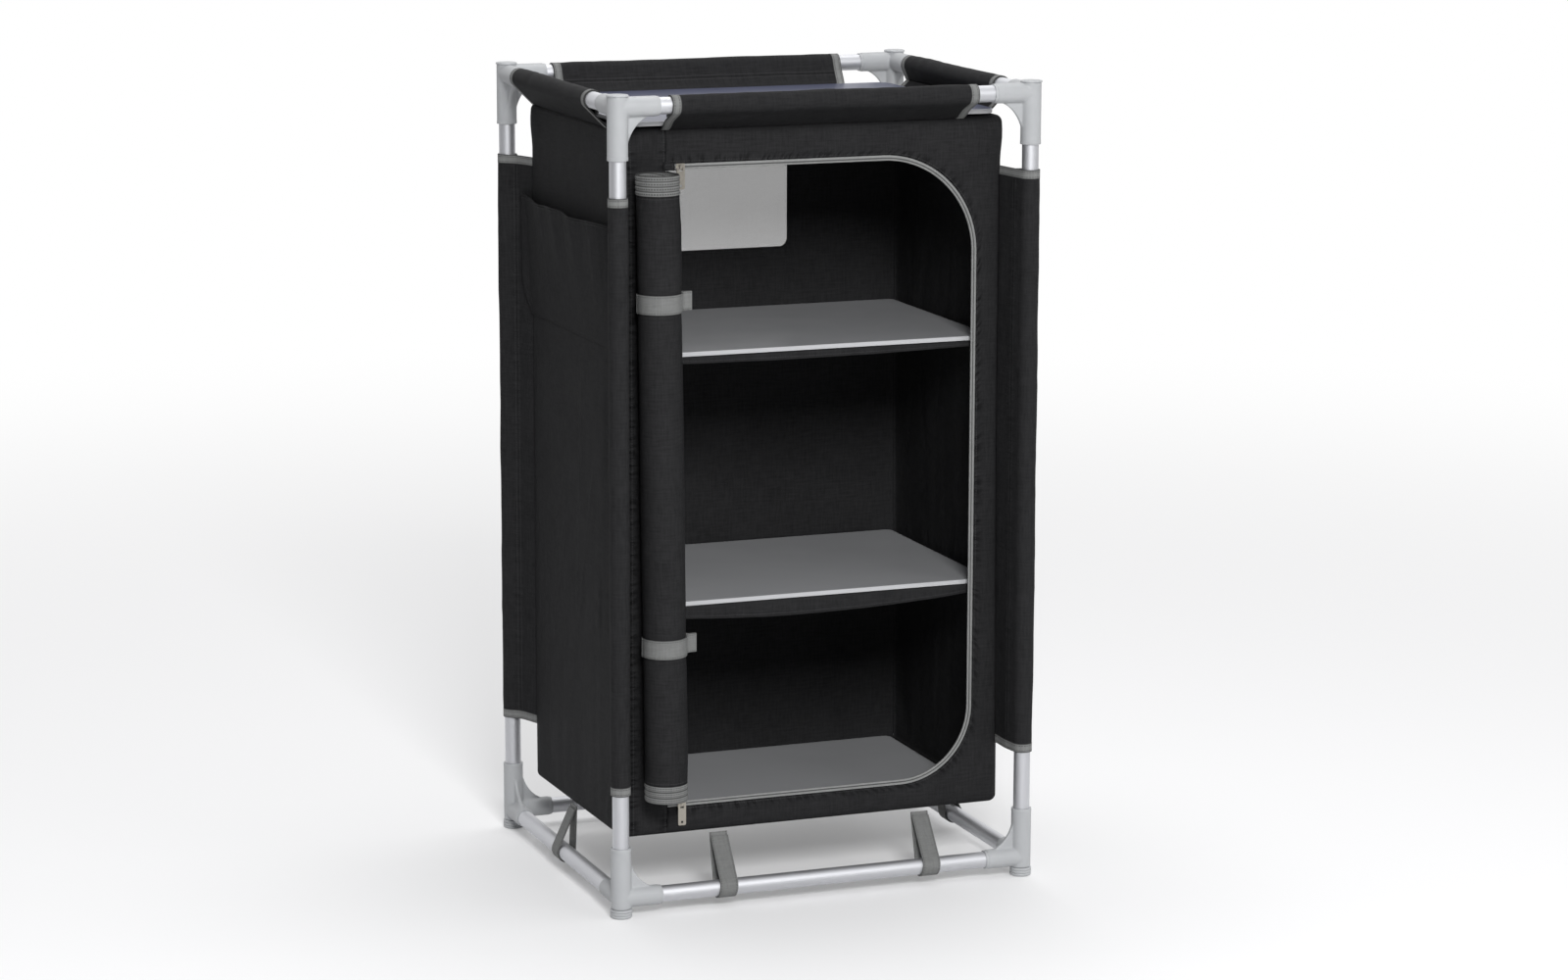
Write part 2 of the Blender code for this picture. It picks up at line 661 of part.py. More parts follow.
def board(name, low, high, top, corner, mats):
    """A flat board with rounded corners and eased edges. Its origin is at its middle, on its underside."""
    outline = rounded_rectangle(low, high, [corner] * 4)
    bottom = top - BOARD
    middle = ((low[0] + high[0]) / 2, (low[1] + high[1]) / 2, bottom)

    def place(a, b, side):
        return (a, b, bottom + side * BOARD)

    made = prism(name, outline, place, mats["board"], middle)
    ease = made.modifiers.new("eased_edges", "BEVEL")
    ease.width = BOARD_EDGE
    ease.segments = 1
    ease.limit_method = "ANGLE"
    return made


def make_boards(mats):
    """Worktop, two shelves and floor board. The worktop's long edges lie on the slack of the two wide flaps."""
    half_x, half_y = BOX_X - WORKTOP_SIDE_INSET, BOX_Y + WORKTOP_OVERHANG
    flap = wide_flap(1)[: FLAP_STEPS + 1]
    seat = np.interp(half_y, flap[:, 0], flap[:, 1])
    worktop_top = seat + HEM_CLOTH / 2 + FIT + BOARD
    board("worktop_board", (-half_x, -half_y), (half_x, half_y), worktop_top, WORKTOP_CORNER, mats)
    half_shelf = BOX_X - SHELF_SIDE_GAP
    for name, top in (("upper_shelf_board", UPPER_SHELF_TOP), ("lower_shelf_board", LOWER_SHELF_TOP)):
        board(name, (-half_shelf, SHELF_FRONT), (half_shelf, SHELF_REAR), top, SHELF_CORNER, mats)
    floor_top = BOX_BOTTOM + CLOTH + FIT + BOARD
    board("floor_board", (-half_shelf, -SHELF_REAR), (half_shelf, SHELF_REAR), floor_top, SHELF_CORNER, mats)


def make_slings(mats):
    """Two cloth slings under the shelf boards, sewn to the side panels, each with a sagging front lip."""
    half = INNER_X - FIT
    for name, top in (("upper_shelf_sling", UPPER_SHELF_TOP), ("lower_shelf_sling", LOWER_SHELF_TOP)):
        level = top - BOARD - FIT - CLOTH / 2
        share = np.linspace(-1, 1, SLING_STEPS + 1)
        lip = SLING_LIP + SLING_SAG * (1 - share**2)
        rows = []
        for y, drop in ((INNER_Y - FIT, 0), (SLING_FRONT, 0), (SLING_FRONT, 1)):
            rows.append(np.stack([half * share, np.full_like(share, y), level - drop * lip], 1))
        cloth_solid(name, np.array(rows), CLOTH, mats["cloth"])


def make_pocket(mats):
    """A pouch on the left panel, sewn down at its bottom and ends, open at the top, with upright folds.

    Across its width it stands off the panel by depth times a rounded sine, and more the higher it gets. Its rear
    end leaves the panel to lie outside the wing of the rear post sleeve."""
    along, up = np.meshgrid(
        np.linspace(0, 1, POCKET_STEPS + 1), np.linspace(0, 1, POCKET_RISE_STEPS + 1), indexing="ij"
    )
    lift_share = np.clip(up / POCKET_LIFT_SHARE, 0, 1)
    rear = POCKET_REAR_LOW + (POCKET_REAR_HIGH - POCKET_REAR_LOW) * lift_share * (2 - lift_share)
    y = rear + (POCKET_FRONT - rear) * along
    wing_slope = (POST_X - BOX_X) / (POST_Y - BOX_Y)
    past = np.maximum(y - BOX_Y, 0)
    clear_share = np.clip(past / (POCKET_REAR_HIGH - BOX_Y), 0, 1)
    clear = past * wing_slope + 2 * (HEM_CLOTH / 2 + FIT) * clear_share
    arch = np.sin(math.pi * along)
    stand_off = POCKET_DEPTH * up**POCKET_RISE_SHARE * arch**POCKET_ARCH_SHARE
    fold = POCKET_FOLD * up * arch * np.sin(math.tau * POCKET_FOLDS * along)
    x = -(BOX_X + FIT + HEM_CLOTH / 2) - clear - stand_off - fold
    z = POCKET_BOTTOM + (POCKET_TOP - POCKET_BOTTOM) * up
    cloth_solid("side_pocket", np.stack([x, y, z], 2), HEM_CLOTH, mats["cloth"])


def make_tie_straps(mats):
    """Webbing loops that hold the box down: each goes from the box's bottom seam round a bottom rail and back."""
    radius = TUBE_RADIUS + HEM_EASE + WEBBING / 2
    seam_z = BOX_BOTTOM - TIE_SEAM_DROP
    half = WEBBING_WIDTH / 2
    for end, sign in (("front", -1), ("rear", 1)):
        path = teardrop((sign * POST_Y, LOW_RAIL_HEIGHT), (sign * BOX_Y, seam_z), radius, WEBBING, sign)
        for side, x in (("left", -POST_X + FRONT_TIE_LEFT_INSET), ("right", POST_X - FRONT_TIE_RIGHT_INSET)):
            grid = ribbon(path, x - half, x + half, in_side_view)
            cloth_solid(f"tie_strap_{end}_{side}", grid, WEBBING, mats["webbing"])
    for side, sign in (("left", -1), ("right", 1)):
        path = teardrop((sign * POST_X, LOW_RAIL_HEIGHT), (sign * BOX_X, seam_z), radius, WEBBING, sign)
        grid = ribbon(path, SIDE_TIE_Y - half, SIDE_TIE_Y + half, in_front_view)
        cloth_solid(f"tie_strap_{side}", grid, WEBBING, mats["webbing"])


def make_zip(mats):
    """The zip's tape round the door opening, its two sliders with their bails, and the two pulls."""
    tape = zip_outline(0)
    grid = np.array([[(x, -BOX_Y, z), (x, -INNER_Y, z)] for x, z in tape])
    cloth_solid("zip_tape", grid, ZIP_TAPE_WIDTH, mats["binding"])
    for name, z, inward in (("top", ZIP_TOP, -1), ("bottom", ZIP_BOTTOM, 1)):
        edge = z + inward * (ZIP_TAPE_WIDTH / 2 + FIT + SLIDER_PLATE / 2)
        open_edge = edge - inward * SLIDER_OVERLAP
        front = -BOX_Y - FIT - SLIDER_PLATE / 2
        back = -INNER_Y + FIT + SLIDER_PLATE / 2
        clip = np.array([(front, open_edge), (front, edge), (back, edge), (back, open_edge)])
        low, high = SLIDER_X - SLIDER_LENGTH / 2, SLIDER_X + SLIDER_LENGTH / 2
        origin = (SLIDER_X, -BOX_Y, z)
        grid = ribbon(clip, low, high, in_side_view)
        slider = cloth_solid(f"{name}_zip_slider", grid, SLIDER_PLATE, mats["steel"], origin)
        face = front - SLIDER_PLATE / 2
        middle = (edge + open_edge) / 2
        reach = BAIL_SPACE + BAIL_WIRE / 2
        rise = (BAIL_HEIGHT + BAIL_WIRE) / 2
        out = face - reach
        bail = [(front, middle + rise), (out, middle + rise), (out, middle - rise), (front, middle - rise)]
        half = BAIL_WIDTH / 2
        grid = ribbon(bail, SLIDER_X - half, SLIDER_X + half, in_side_view)
        combine(slider, [cloth_solid("bail", grid, BAIL_WIRE, mats["steel"])], "UNION")
        zip_pull(f"{name}_zip_pull", face - BAIL_SPACE / 2, middle, mats["steel"])


def zip_pull(name, y, z, finish):
    """A flat pull with a square eye at its top and a small square slot near its end, hung by its top rim."""
    top = z + PULL_RIM / 2
    half = PULL_WIDTH / 2
    low = (SLIDER_X - half, top - PULL_LENGTH)
    outline = rounded_rectangle(low, (SLIDER_X + half, top), [PULL_CORNER] * 4, PULL_STEPS)

    def plate(a, b, side):
        return (a, y + (side - 1 / 2) * PULL_THICKNESS, b)

    def through(a, b, side):
        return (a, y + (side - 1 / 2) * (PULL_THICKNESS + OVERRUN), b)

    made = prism(name, outline, plate, finish, (SLIDER_X, y, z))
    cuts = []
    for size, low in ((PULL_EYE, top - PULL_RIM - PULL_EYE), (PULL_SLOT, top - PULL_LENGTH + PULL_SLOT)):
        start = (SLIDER_X - size / 2, low)
        square = rounded_rectangle(start, (SLIDER_X + size / 2, low + size), [0] * 4)
        cuts.append(prism("square_hole", square, through, finish))
    return combine(made, cuts, "DIFFERENCE")


def seam_from_roll():
    """The door seam seen from the roll's centre, and the angle at which the door meets the roll."""
    seam = np.array([DOOR_SEAM_X + FIT + ROLL_CLOTH / 2 - ROLL_X, -BOX_Y - ROLL_Y])
    reach = np.linalg.norm(seam)
    touch = math.atan2(seam[1], seam[0]) - math.acos((ROLL_RADIUS - ROLL_CLOTH / 2) / reach)
    return seam, touch


def round_the_roll(stand_off, start, end, steps):
    """Points in plan at a steady distance off the roll's outer layer, which winds inwards clockwise."""
    touch = seam_from_roll()[1]
    turns = np.linspace(start, end, steps + 1)
    radius = ROLL_RADIUS + stand_off - ROLL_PITCH * np.mod(touch - turns, math.tau) / math.tau
    return np.stack([ROLL_X + radius * np.cos(turns), ROLL_Y + radius * np.sin(turns)], 1)


def roll_path():
    """The rolled door in plan, with the flat distance from its seam at each point, and its flat width.

    It runs straight from the seam to the roll's right side, then winds inwards, clockwise from above, at a steady
    pitch. The number of turns follows from the door's flat width."""
    seam, touch = seam_from_roll()
    radius = ROLL_RADIUS - ROLL_CLOTH / 2
    straight = math.sqrt(seam @ seam - radius**2)
    flat_width = ZIP_RIGHT - ZIP_TAPE_WIDTH / 2 - DOOR_SEAM_X
    wound = flat_width - straight
    turns = (radius - math.sqrt(radius**2 - ROLL_PITCH * wound / math.pi)) / ROLL_PITCH
    t = np.linspace(0, turns, ROLL_STEPS + 1)
    spiral_radius = radius - ROLL_PITCH * t
    angle = touch - math.tau * t
    spiral = np.stack([spiral_radius * np.cos(angle), spiral_radius * np.sin(angle)], 1)
    distance = straight + math.tau * (radius * t - ROLL_PITCH * t**2 / 2)
    return np.vstack([seam, spiral]) + (ROLL_X, ROLL_Y), np.append(0, distance), flat_width


def make_door_roll(mats):
    """The door rolled up beside its seam, with the fixed halves of its straps sewn on.

    The free end has the opening's round corners, so that the roll's core is hollow."""
    path, distance, flat_width = roll_path()
    from_edge = flat_width - distance
    top = ZIP_TOP - ZIP_TAPE_WIDTH / 2 - ROLL_TOP_DROP
    bottom = ZIP_BOTTOM + ZIP_TAPE_WIDTH / 2 + ROLL_BOTTOM_LIFT

    def corner_drop(radius):
        inside = np.clip(radius - from_edge, 0, radius)
        return radius - np.sqrt(radius**2 - inside**2)

    high = top - corner_drop(ZIP_TOP_RADIUS)
    low = bottom + corner_drop(ZIP_BOTTOM_RADIUS)
    grid = np.stack([np.column_stack([path, low]), np.column_stack([path, high])], 1)
    origin = (DOOR_SEAM_X, -BOX_Y, (top + bottom) / 2)
    roll = cloth_solid("door_roll", grid, ROLL_CLOTH, mats["cloth"], origin)
    halves = []
    for z in (UPPER_STRAP_HEIGHT, LOWER_STRAP_HEIGHT):
        for part in strap_halves_behind():
            grid = ribbon(part, z - WEBBING_WIDTH / 2, z + WEBBING_WIDTH / 2, in_plan)
            halves.append(cloth_solid("half", grid, WEBBING, mats["webbing"]))
    combine(roll, halves, "UNION")


def strap_halves_behind():
    """The fixed strap in plan: a half that goes round the back of the roll, and a flat tail from the seam."""
    seam, touch = seam_from_roll()
    door_way = np.array([math.sin(touch), -math.cos(touch)])
    off_door = np.array([math.cos(touch), math.sin(touch)])
    back = round_the_roll(WEBBING / 2 - STRAP_SEWN, math.pi - STRAP_GAP_TURN, STRAP_BACK_TURN, STRAP_STEPS)
    root = seam + off_door * ((ROLL_CLOTH + WEBBING) / 2 - STRAP_SEWN) + door_way * WEBBING
    tail_y = STRAP_TAIL_STEP + WEBBING + FIT
    bend = (STRAP_TAIL_START, tail_y)
    tail = np.array([root, bend, (STRAP_TAIL_END, tail_y)]) + (ROLL_X, ROLL_Y)
    return back, tail


def make_strap_fronts(mats):
    """The front halves of the door straps, which peel off to the left. Each origin is on its peeling line."""
    stand_off = FIT + WEBBING / 2
    front = round_the_roll(stand_off, math.pi + STRAP_GAP_TURN, STRAP_FRONT_TURN, STRAP_STEPS)
    bend = (ROLL_X + STRAP_TAIL_START, ROLL_Y + STRAP_TAIL_STEP - WEBBING)
    path = np.vstack([front, bend, (ROLL_X + STRAP_TAIL_END, ROLL_Y + STRAP_TAIL_STEP)])
    left = round_the_roll(stand_off, math.pi, math.pi, 0)[0]
    for name, z in (("upper", UPPER_STRAP_HEIGHT), ("lower", LOWER_STRAP_HEIGHT)):
        grid = ribbon(path, z - WEBBING_WIDTH / 2, z + WEBBING_WIDTH / 2, in_plan)
        cloth_solid(f"{name}_roll_strap", grid, WEBBING, mats["webbing"], (*left, z))


def main():
    for old in list(bpy.data.objects):
        bpy.data.objects.remove(old)
    mats = make_materials()
    make_frame(mats)
    make_panels(mats)
    make_vent_net(mats)
    make_sleeves(mats)
    make_boards(mats)
    make_slings(mats)
    make_pocket(mats)
    make_tie_straps(mats)
    make_zip(mats)
    make_door_roll(mats)
    make_strap_fronts(mats)


main()
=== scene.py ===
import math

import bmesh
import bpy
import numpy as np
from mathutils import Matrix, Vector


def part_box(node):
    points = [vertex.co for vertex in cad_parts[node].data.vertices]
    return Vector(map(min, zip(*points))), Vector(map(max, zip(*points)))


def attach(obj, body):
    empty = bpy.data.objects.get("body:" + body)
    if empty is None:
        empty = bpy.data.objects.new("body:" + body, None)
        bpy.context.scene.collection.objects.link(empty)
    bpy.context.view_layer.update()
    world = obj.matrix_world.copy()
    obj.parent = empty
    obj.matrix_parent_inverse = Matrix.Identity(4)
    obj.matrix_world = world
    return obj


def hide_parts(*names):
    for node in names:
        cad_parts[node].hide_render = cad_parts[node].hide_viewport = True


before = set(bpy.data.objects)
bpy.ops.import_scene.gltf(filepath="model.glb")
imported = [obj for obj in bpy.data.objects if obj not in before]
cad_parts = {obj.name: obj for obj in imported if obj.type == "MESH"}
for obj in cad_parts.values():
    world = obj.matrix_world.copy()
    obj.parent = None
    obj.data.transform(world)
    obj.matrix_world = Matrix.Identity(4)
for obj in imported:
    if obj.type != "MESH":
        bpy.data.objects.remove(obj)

# %% [markdown]
# # A fabric camp cupboard
#
# This lesson dresses the plain solids of a camp cupboard. The real one is a cloth box that hangs by hemmed sleeves
# in a frame of plug-together tubes. The solids say where each piece is. Each cell below works out one finer piece
# with numpy, gives it a finish made of shader nodes, and hides the solid it stands for.

scene = bpy.context.scene
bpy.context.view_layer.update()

# %% [markdown]
# ## Measures
#
# Every measure that the solids already hold is read from them, so that a new piece can't drift away from its solid.
# Only what the solids don't show, such as a thread spacing, is written as a number of its own.

# %% Read the frame, the cloth box and the door opening
def reach(node):
    """Lowest and highest corner of a solid, as arrays in metres."""
    low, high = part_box(node)
    return np.array(low), np.array(high)


def middle(node):
    """The middle of a solid's box."""
    return sum(reach(node)) / 2


POST_X, POST_Y = np.abs(middle("post_front_right")[:2])
RAIL_LOW, RAIL_TOP = middle("bottom_rail_front")[2], middle("top_rail_front")[2]
TUBE_RADIUS = float(np.ptp(reach("post_front_right"), axis=0)[0] / 2)
BOX_X, BOX_Y, BOX_TOP = reach("top_panel")[1]
BOX_LOW = reach("floor_panel")[0][2]
ZIP_WIDTH = 0.007
DOOR_SEAM = reach("zip_tape")[0][0] - 0.0003
ZIP_RIGHT, _, ZIP_TOP = reach("zip_tape")[1] - ZIP_WIDTH / 2
ZIP_BOTTOM = reach("zip_tape")[0][2] + ZIP_WIDTH / 2
ZIP_TOP_RADIUS, ZIP_BOTTOM_RADIUS = 0.130, 0.100
CLOTH = 0.0012
FIT = 0.0003
print("posts at", POST_X, POST_Y, "box", BOX_X, BOX_Y, BOX_LOW, BOX_TOP)

# %% [markdown]
# ## Camera and light
#
# The seven frame corners that the photograph shows fix where it was taken from: a long lens, low and to the left.
# The backdrop is a pale floor that fades into a white room. One large soft light in front makes most of the picture,
# and two weak ones lift the right side and the top. Only the camera sees the far floor as bright as it is, because its
# full glow in reflections would grey the black cloth.

# %% Camera at the photograph's place
CAMERA_PLACE = (-2.0058, -5.2989, 1.6169)
CAMERA_AZIMUTH, CAMERA_ELEVATION, CAMERA_ROLL = (math.radians(a) for a in (-21.026, 11.068, 0.158))
FOCAL_SHARE = 4319 / 1600


def looking(azimuth, elevation, roll):
    """The camera's right, up and backward directions: a turn about z, a tilt, then a small roll about the view."""
    flat = math.cos(elevation)
    back = np.array([math.sin(azimuth) * flat, -math.cos(azimuth) * flat, math.sin(elevation)])
    right = np.cross(-back, (0, 0, 1))
    right /= np.linalg.norm(right)
    up = np.cross(right, -back)
    c, s = math.cos(roll), math.sin(roll)
    return np.array([c * right + s * up, -s * right + c * up, back])


lens = bpy.data.cameras.new("photograph_lens")
lens.sensor_width = 36
lens.lens = 36 * FOCAL_SHARE
lens.clip_end = 200
camera = bpy.data.objects.new("photograph_camera", lens)
turn = Matrix(looking(CAMERA_AZIMUTH, CAMERA_ELEVATION, CAMERA_ROLL).T.tolist()).to_4x4()
camera.matrix_world = Matrix.Translation(CAMERA_PLACE) @ turn
scene.collection.objects.link(camera)
scene.camera = camera
print("lens of", round(lens.lens, 1), "mm")

# %% Colours and nodes
def paint(value):
    """An sRGB colour such as "7c7e7b" as linear red, green, blue and alpha: the lower part of the curve is a
    straight line, the rest a power of 2.4."""
    srgb = np.array([int(value[k:k + 2], 16) / 255 for k in (0, 2, 4)])
    linear = np.where(srgb <= 0.04045, srgb / 12.92, ((srgb + 0.055) / 1.055) ** 2.4)
    return (*linear, 1.0)


def add(tree, kind, inputs=(), **settings):
    """Adds a node. settings are the node's own, and inputs gives sockets a value or a link from another socket."""
    made = tree.nodes.new("ShaderNode" + kind)
    for name, value in settings.items():
        setattr(made, name, value)
    for key, value in dict(inputs).items():
        if isinstance(value, bpy.types.NodeSocket):
            tree.links.new(value, made.inputs[key])
        else:
            made.inputs[key].default_value = value
    return made


def calc(tree, operation, *values):
    """The result of one arithmetic node on numbers or links."""
    return add(tree, "Math", dict(enumerate(values)), operation=operation).outputs[0]


def noise(tree, place, scale, detail, rough=0.5):
    """The grey value of a noise texture at a place."""
    inputs = {"Vector": place, "Scale": scale, "Detail": detail, "Roughness": rough}
    return add(tree, "TexNoise", inputs).outputs["Fac"]


def graded(tree, value, low=0.0, high=1.0, start=0.0, end=1.0, **settings):
    """The value's range from start to end, carried over to the range from low to high."""
    inputs = {"Value": value, "From Min": start, "From Max": end, "To Min": low, "To Max": high}
    return add(tree, "MapRange", inputs, **settings).outputs[0]


def tinted(tree, share, first, second, **settings):
    """The colour at a share of the way between two, which are links or sRGB values."""
    first, second = (paint(c) if isinstance(c, str) else c for c in (first, second))
    return add(tree, "Mix", {0: share, 6: first, 7: second}, data_type="RGBA", **settings).outputs[2]


def relief(tree, height, depth, strength, under=None):
    """The normal of a bump map, laid over another normal where one is given."""
    inputs = {"Height": height, "Distance": depth, "Strength": strength}
    if under is not None:
        inputs["Normal"] = under
    return add(tree, "Bump", inputs).outputs[0]


def new_finish(name):
    """An empty node material."""
    made = bpy.data.materials.new(name)
    made.use_nodes = True
    made.node_tree.nodes.clear()
    return made, made.node_tree


def shaded(finish, inputs):
    """Ends a finish with its shader and the output."""
    shader = add(finish.node_tree, "BsdfPrincipled", inputs)
    add(finish.node_tree, "OutputMaterial", {"Surface": shader.outputs[0]})
    return finish


# %% Room, floor and lights
FLOOR_HALF = 30

world = bpy.data.worlds.new("white_room")
world.use_nodes = True
room = world.node_tree
way_seen = add(room, "SeparateXYZ", {0: add(room, "TexCoord").outputs["Generated"]})
behind = calc(room, "ADD", calc(room, "MULTIPLY", way_seen.outputs[0], 0.8), way_seen.outputs[1])
depth = graded(room, behind, start=-0.9, end=0.75, interpolation_type="SMOOTHSTEP")
room.links.new(tinted(room, depth, "747478", "fbfbfb"), room.nodes["Background"].inputs["Color"])
scene.world = world
scene.view_settings.view_transform = "Standard"

floor_finish, tree = new_finish("matt_white_paper")
speck = add(tree, "TexNoise", {"Scale": 3.0, "Detail": 3.0}).outputs["Fac"]
paper = add(tree, "BsdfPrincipled", {"Base Color": tinted(tree, speck, "f2f2f3", "f6f6f6"), "Roughness": 0.9})
from_middle = add(tree, "VectorMath", {0: add(tree, "TexCoord").outputs["Object"]}, operation="LENGTH")
far = graded(tree, from_middle.outputs["Value"], 0.2, 1.0, 0.5, 4.5, interpolation_type="SMOOTHSTEP")
seen = graded(tree, add(tree, "LightPath").outputs["Is Camera Ray"], 0.35)
glow = add(tree, "Emission", {"Color": paint("ffffff"), "Strength": seen})
cove = add(tree, "MixShader", {0: far, 1: paper.outputs[0], 2: glow.outputs[0]})
add(tree, "OutputMaterial", {"Surface": cove.outputs[0]})
sheet_mesh = bpy.data.meshes.new("floor")
floor_corners = [(sx * FLOOR_HALF, sy * FLOOR_HALF, 0) for sx, sy in ((-1, -1), (1, -1), (1, 1), (-1, 1))]
sheet_mesh.from_pydata(floor_corners, [], [(0, 1, 2, 3)])
sheet_mesh.materials.append(floor_finish)
floor = bpy.data.objects.new("floor", sheet_mesh)
scene.collection.objects.link(floor)


def soft_light(name, place, target, size, watts):
    """A square soft light at a place, turned to a target."""
    light = bpy.data.lights.new(name, "AREA")
    light.shape = "SQUARE"
    light.size = size
    light.energy = watts
    made = bpy.data.objects.new(name, light)
    back = np.subtract(place, target)
    back /= np.linalg.norm(back)
    right = np.cross((0, 0, 1), back)
    right /= np.linalg.norm(right)
    axes = np.array([right, np.cross(back, right), back]).T
    made.matrix_world = Matrix.Translation(place) @ Matrix(axes.tolist()).to_4x4()
    scene.collection.objects.link(made)
    return made


soft_light("key_light", (-0.9, -4.3, 2.9), (0, 0, 0.5), 1.3, 182)
soft_light("right_light", (2.0, -3.0, 1.4), (0, 0, 0.5), 1.0, 8)
soft_light("top_light", (0.2, 0.6, 3.2), (0, 0, 0.5), 1.4, 18)

# %% [markdown]
# ## From arrays to meshes
#
# A surface is a grid of points: rows along one parameter, columns along the other. `patch` turns such a grid into
# quads and keeps two maps with it, both in metres. The map `weave` lays the flat cloth on the surface, so threads keep
# their size. The map `seam` holds the way along the nearest sewn edge and the distance from it, so that stitches,
# puckers and the painted shade along seams follow the seams.

# %% Grids, patches and pieces
def lengths(path):
    """Distance along a path at each of its points: the running sum of the steps."""
    return np.append(0, np.cumsum(np.linalg.norm(np.diff(path, axis=0), axis=1)))


def evenly(path, count):
    """The same path with a given number of points at even spacing."""
    path = np.asarray(path, float)
    run = lengths(path)
    at = np.linspace(0, run[-1], count)
    return np.stack([np.interp(at, run, path[:, k]) for k in range(path.shape[1])], 1)


def patch(points, weave, seam=None, closed=False, finish=0, flip=False):
    """Quads of one grid. With closed, the last column joins the first, and the maps have one column more."""
    rows, columns = points.shape[:2]
    row, column = np.meshgrid(np.arange(rows - 1), np.arange(columns if closed else columns - 1), indexing="ij")
    steps = [(0, 0), (0, 1), (1, 1), (1, 0)][::-1 if flip else 1]
    if seam is None:
        seam = np.ones_like(weave)
    return {
        "points": points.reshape(-1, 3),
        "quads": np.stack([(row + a) * columns + (column + b) % columns for a, b in steps], -1).reshape(-1, 4),
        "weave": np.stack([weave[row + a, column + b] for a, b in steps], -2).reshape(-1, 2),
        "seam": np.stack([seam[row + a, column + b] for a, b in steps], -2).reshape(-1, 2),
        "finish": np.broadcast_to(finish, row.shape).reshape(-1),
    }


def face_outwards(mesh, weld):
    """Turns a mesh's faces outwards, and with weld first joins points that coincide."""
    loose = bmesh.new()
    loose.from_mesh(mesh)
    if weld:
        bmesh.ops.remove_doubles(loose, verts=loose.verts, dist=2e-6)
        bmesh.ops.dissolve_degenerate(loose, edges=loose.edges, dist=1e-7)
    bmesh.ops.recalc_face_normals(loose, faces=loose.faces)
    loose.to_mesh(mesh)
    loose.free()


def lay(name, patches, *finishes, weld=False):
    """One object at the origin from patches. weld joins points that coincide and turns the faces outwards."""
    starts = np.cumsum([0] + [len(p["points"]) for p in patches])
    mesh = bpy.data.meshes.new(name)
    points = np.concatenate([p["points"] for p in patches])
    quads = np.concatenate([p["quads"] + start for p, start in zip(patches, starts)])
    mesh.from_pydata(points.tolist(), [], quads.tolist())
    for key in ("weave", "seam"):
        layer = mesh.uv_layers.new(name=key)
        layer.data.foreach_set("uv", np.concatenate([p[key] for p in patches]).astype(np.float32).ravel())
    mesh.polygons.foreach_set("material_index", np.concatenate([p["finish"] for p in patches]).astype(np.int32))
    mesh.shade_smooth()
    for finish in finishes:
        mesh.materials.append(finish)
    if weld:
        face_outwards(mesh, weld=True)
    mesh.update()
    made = bpy.data.objects.new(name, mesh)
    scene.collection.objects.link(made)
    return made


def crisp(piece, degrees=35):
    """Keeps edges sharp where two faces meet at more than the angle."""
    piece.data.set_sharp_from_angle(angle=math.radians(degrees))
    return piece


def thicken(piece, thickness):
    """Gives a sheet its thickness, half to each side."""
    shell = piece.modifiers.new("thickness", "SOLIDIFY")
    shell.thickness = thickness
    shell.offset = 0
    shell.use_even_offset = True
    return piece


def settle(piece, slot, *nodes, body="frame"):
    """Hides the solids that a piece stands for and hangs the piece under the empty of the body it moves with. slot is
    not used.
    """
    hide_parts(*nodes)
    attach(piece, body)
    return piece


def lumps(a, b, size_a, size_b, seed):
    """Smooth noise from -1 to 1: seeded random values on a lattice, blended by the curve 3t^2 - 2t^3."""
    table = np.random.default_rng(seed).uniform(-1, 1, (97, 97))
    x, y = a / size_a, b / size_b
    i, j = np.floor(x).astype(int), np.floor(y).astype(int)
    u, v = x - i, y - j
    u, v = u * u * (3 - 2 * u), v * v * (3 - 2 * v)

    def at(p, q):
        return table[(i + p) % 97, (j + q) % 97]

    low = at(0, 0) * (1 - u) + at(1, 0) * u
    high = at(0, 1) * (1 - u) + at(1, 1) * u
    return low * (1 - v) + high * v


def fade(distance, width):
    """1 at distance 0 and 0 from the width on, along the curve 3t^2 - 2t^3."""
    t = np.clip(1 - distance / width, 0, 1)
    return t * t * (3 - 2 * t)


def turned(profile, centre, way, sides=64, finish=0):
    """A surface of revolution: each profile point (radius, way along) sweeps a circle about the line."""
    profile, way = np.asarray(profile, float), np.asarray(way, float)
    side = np.cross(way, (0, 0, 1) if abs(way[2]) < 0.9 else (1, 0, 0))
    side /= np.linalg.norm(side)
    third = np.cross(way, side)
    angle = np.linspace(0, math.tau, sides, endpoint=False)[:, None]
    ring = np.cos(angle) * side + np.sin(angle) * third
    points = np.asarray(centre) + profile[:, 1, None, None] * way + profile[:, 0, None, None] * ring
    around = np.linspace(0, math.tau, sides + 1) * profile[:, 0].max()
    weave = np.stack(np.broadcast_arrays(around[None, :], lengths(profile)[:, None]), -1)
    return patch(points, weave, closed=True, finish=finish)


print("helpers ready")

# %% [markdown]
# ## Finishes
#
# The frame is satin anodised aluminium tube in grey moulded polypropylene corners. The cloth is a black plain weave
# of thick polyester yarn, and where the front is eased on to the zip it has deeper puckers. The edges are bound with
# grey ribbed tape, and the straps are grey webbing.

# %% Satin anodised aluminium, drawn tube
def drawn_aluminium():
    """Drawn along its length, so faint streaks run that way. The anodised skin spreads highlights softly."""
    made, tree = new_finish("aluminium_drawn_satin_anodised")
    flat = add(tree, "UVMap", uv_map="weave").outputs[0]
    stretched = add(tree, "Mapping", {"Vector": flat, "Scale": (900, 12, 1)}).outputs[0]
    streak, cloud = noise(tree, stretched, 1.0, 4.0, 0.6), noise(tree, flat, 30.0, 2.0)
    return shaded(made, {
        "Base Color": tinted(tree, streak, "cfd0d4", "dedfe2"), "Metallic": 1.0,
        "Roughness": graded(tree, cloud, 0.5, 0.6), "Normal": relief(tree, streak, 0.00003, 0.5)})


ALUMINIUM = drawn_aluminium()
print(ALUMINIUM.name)

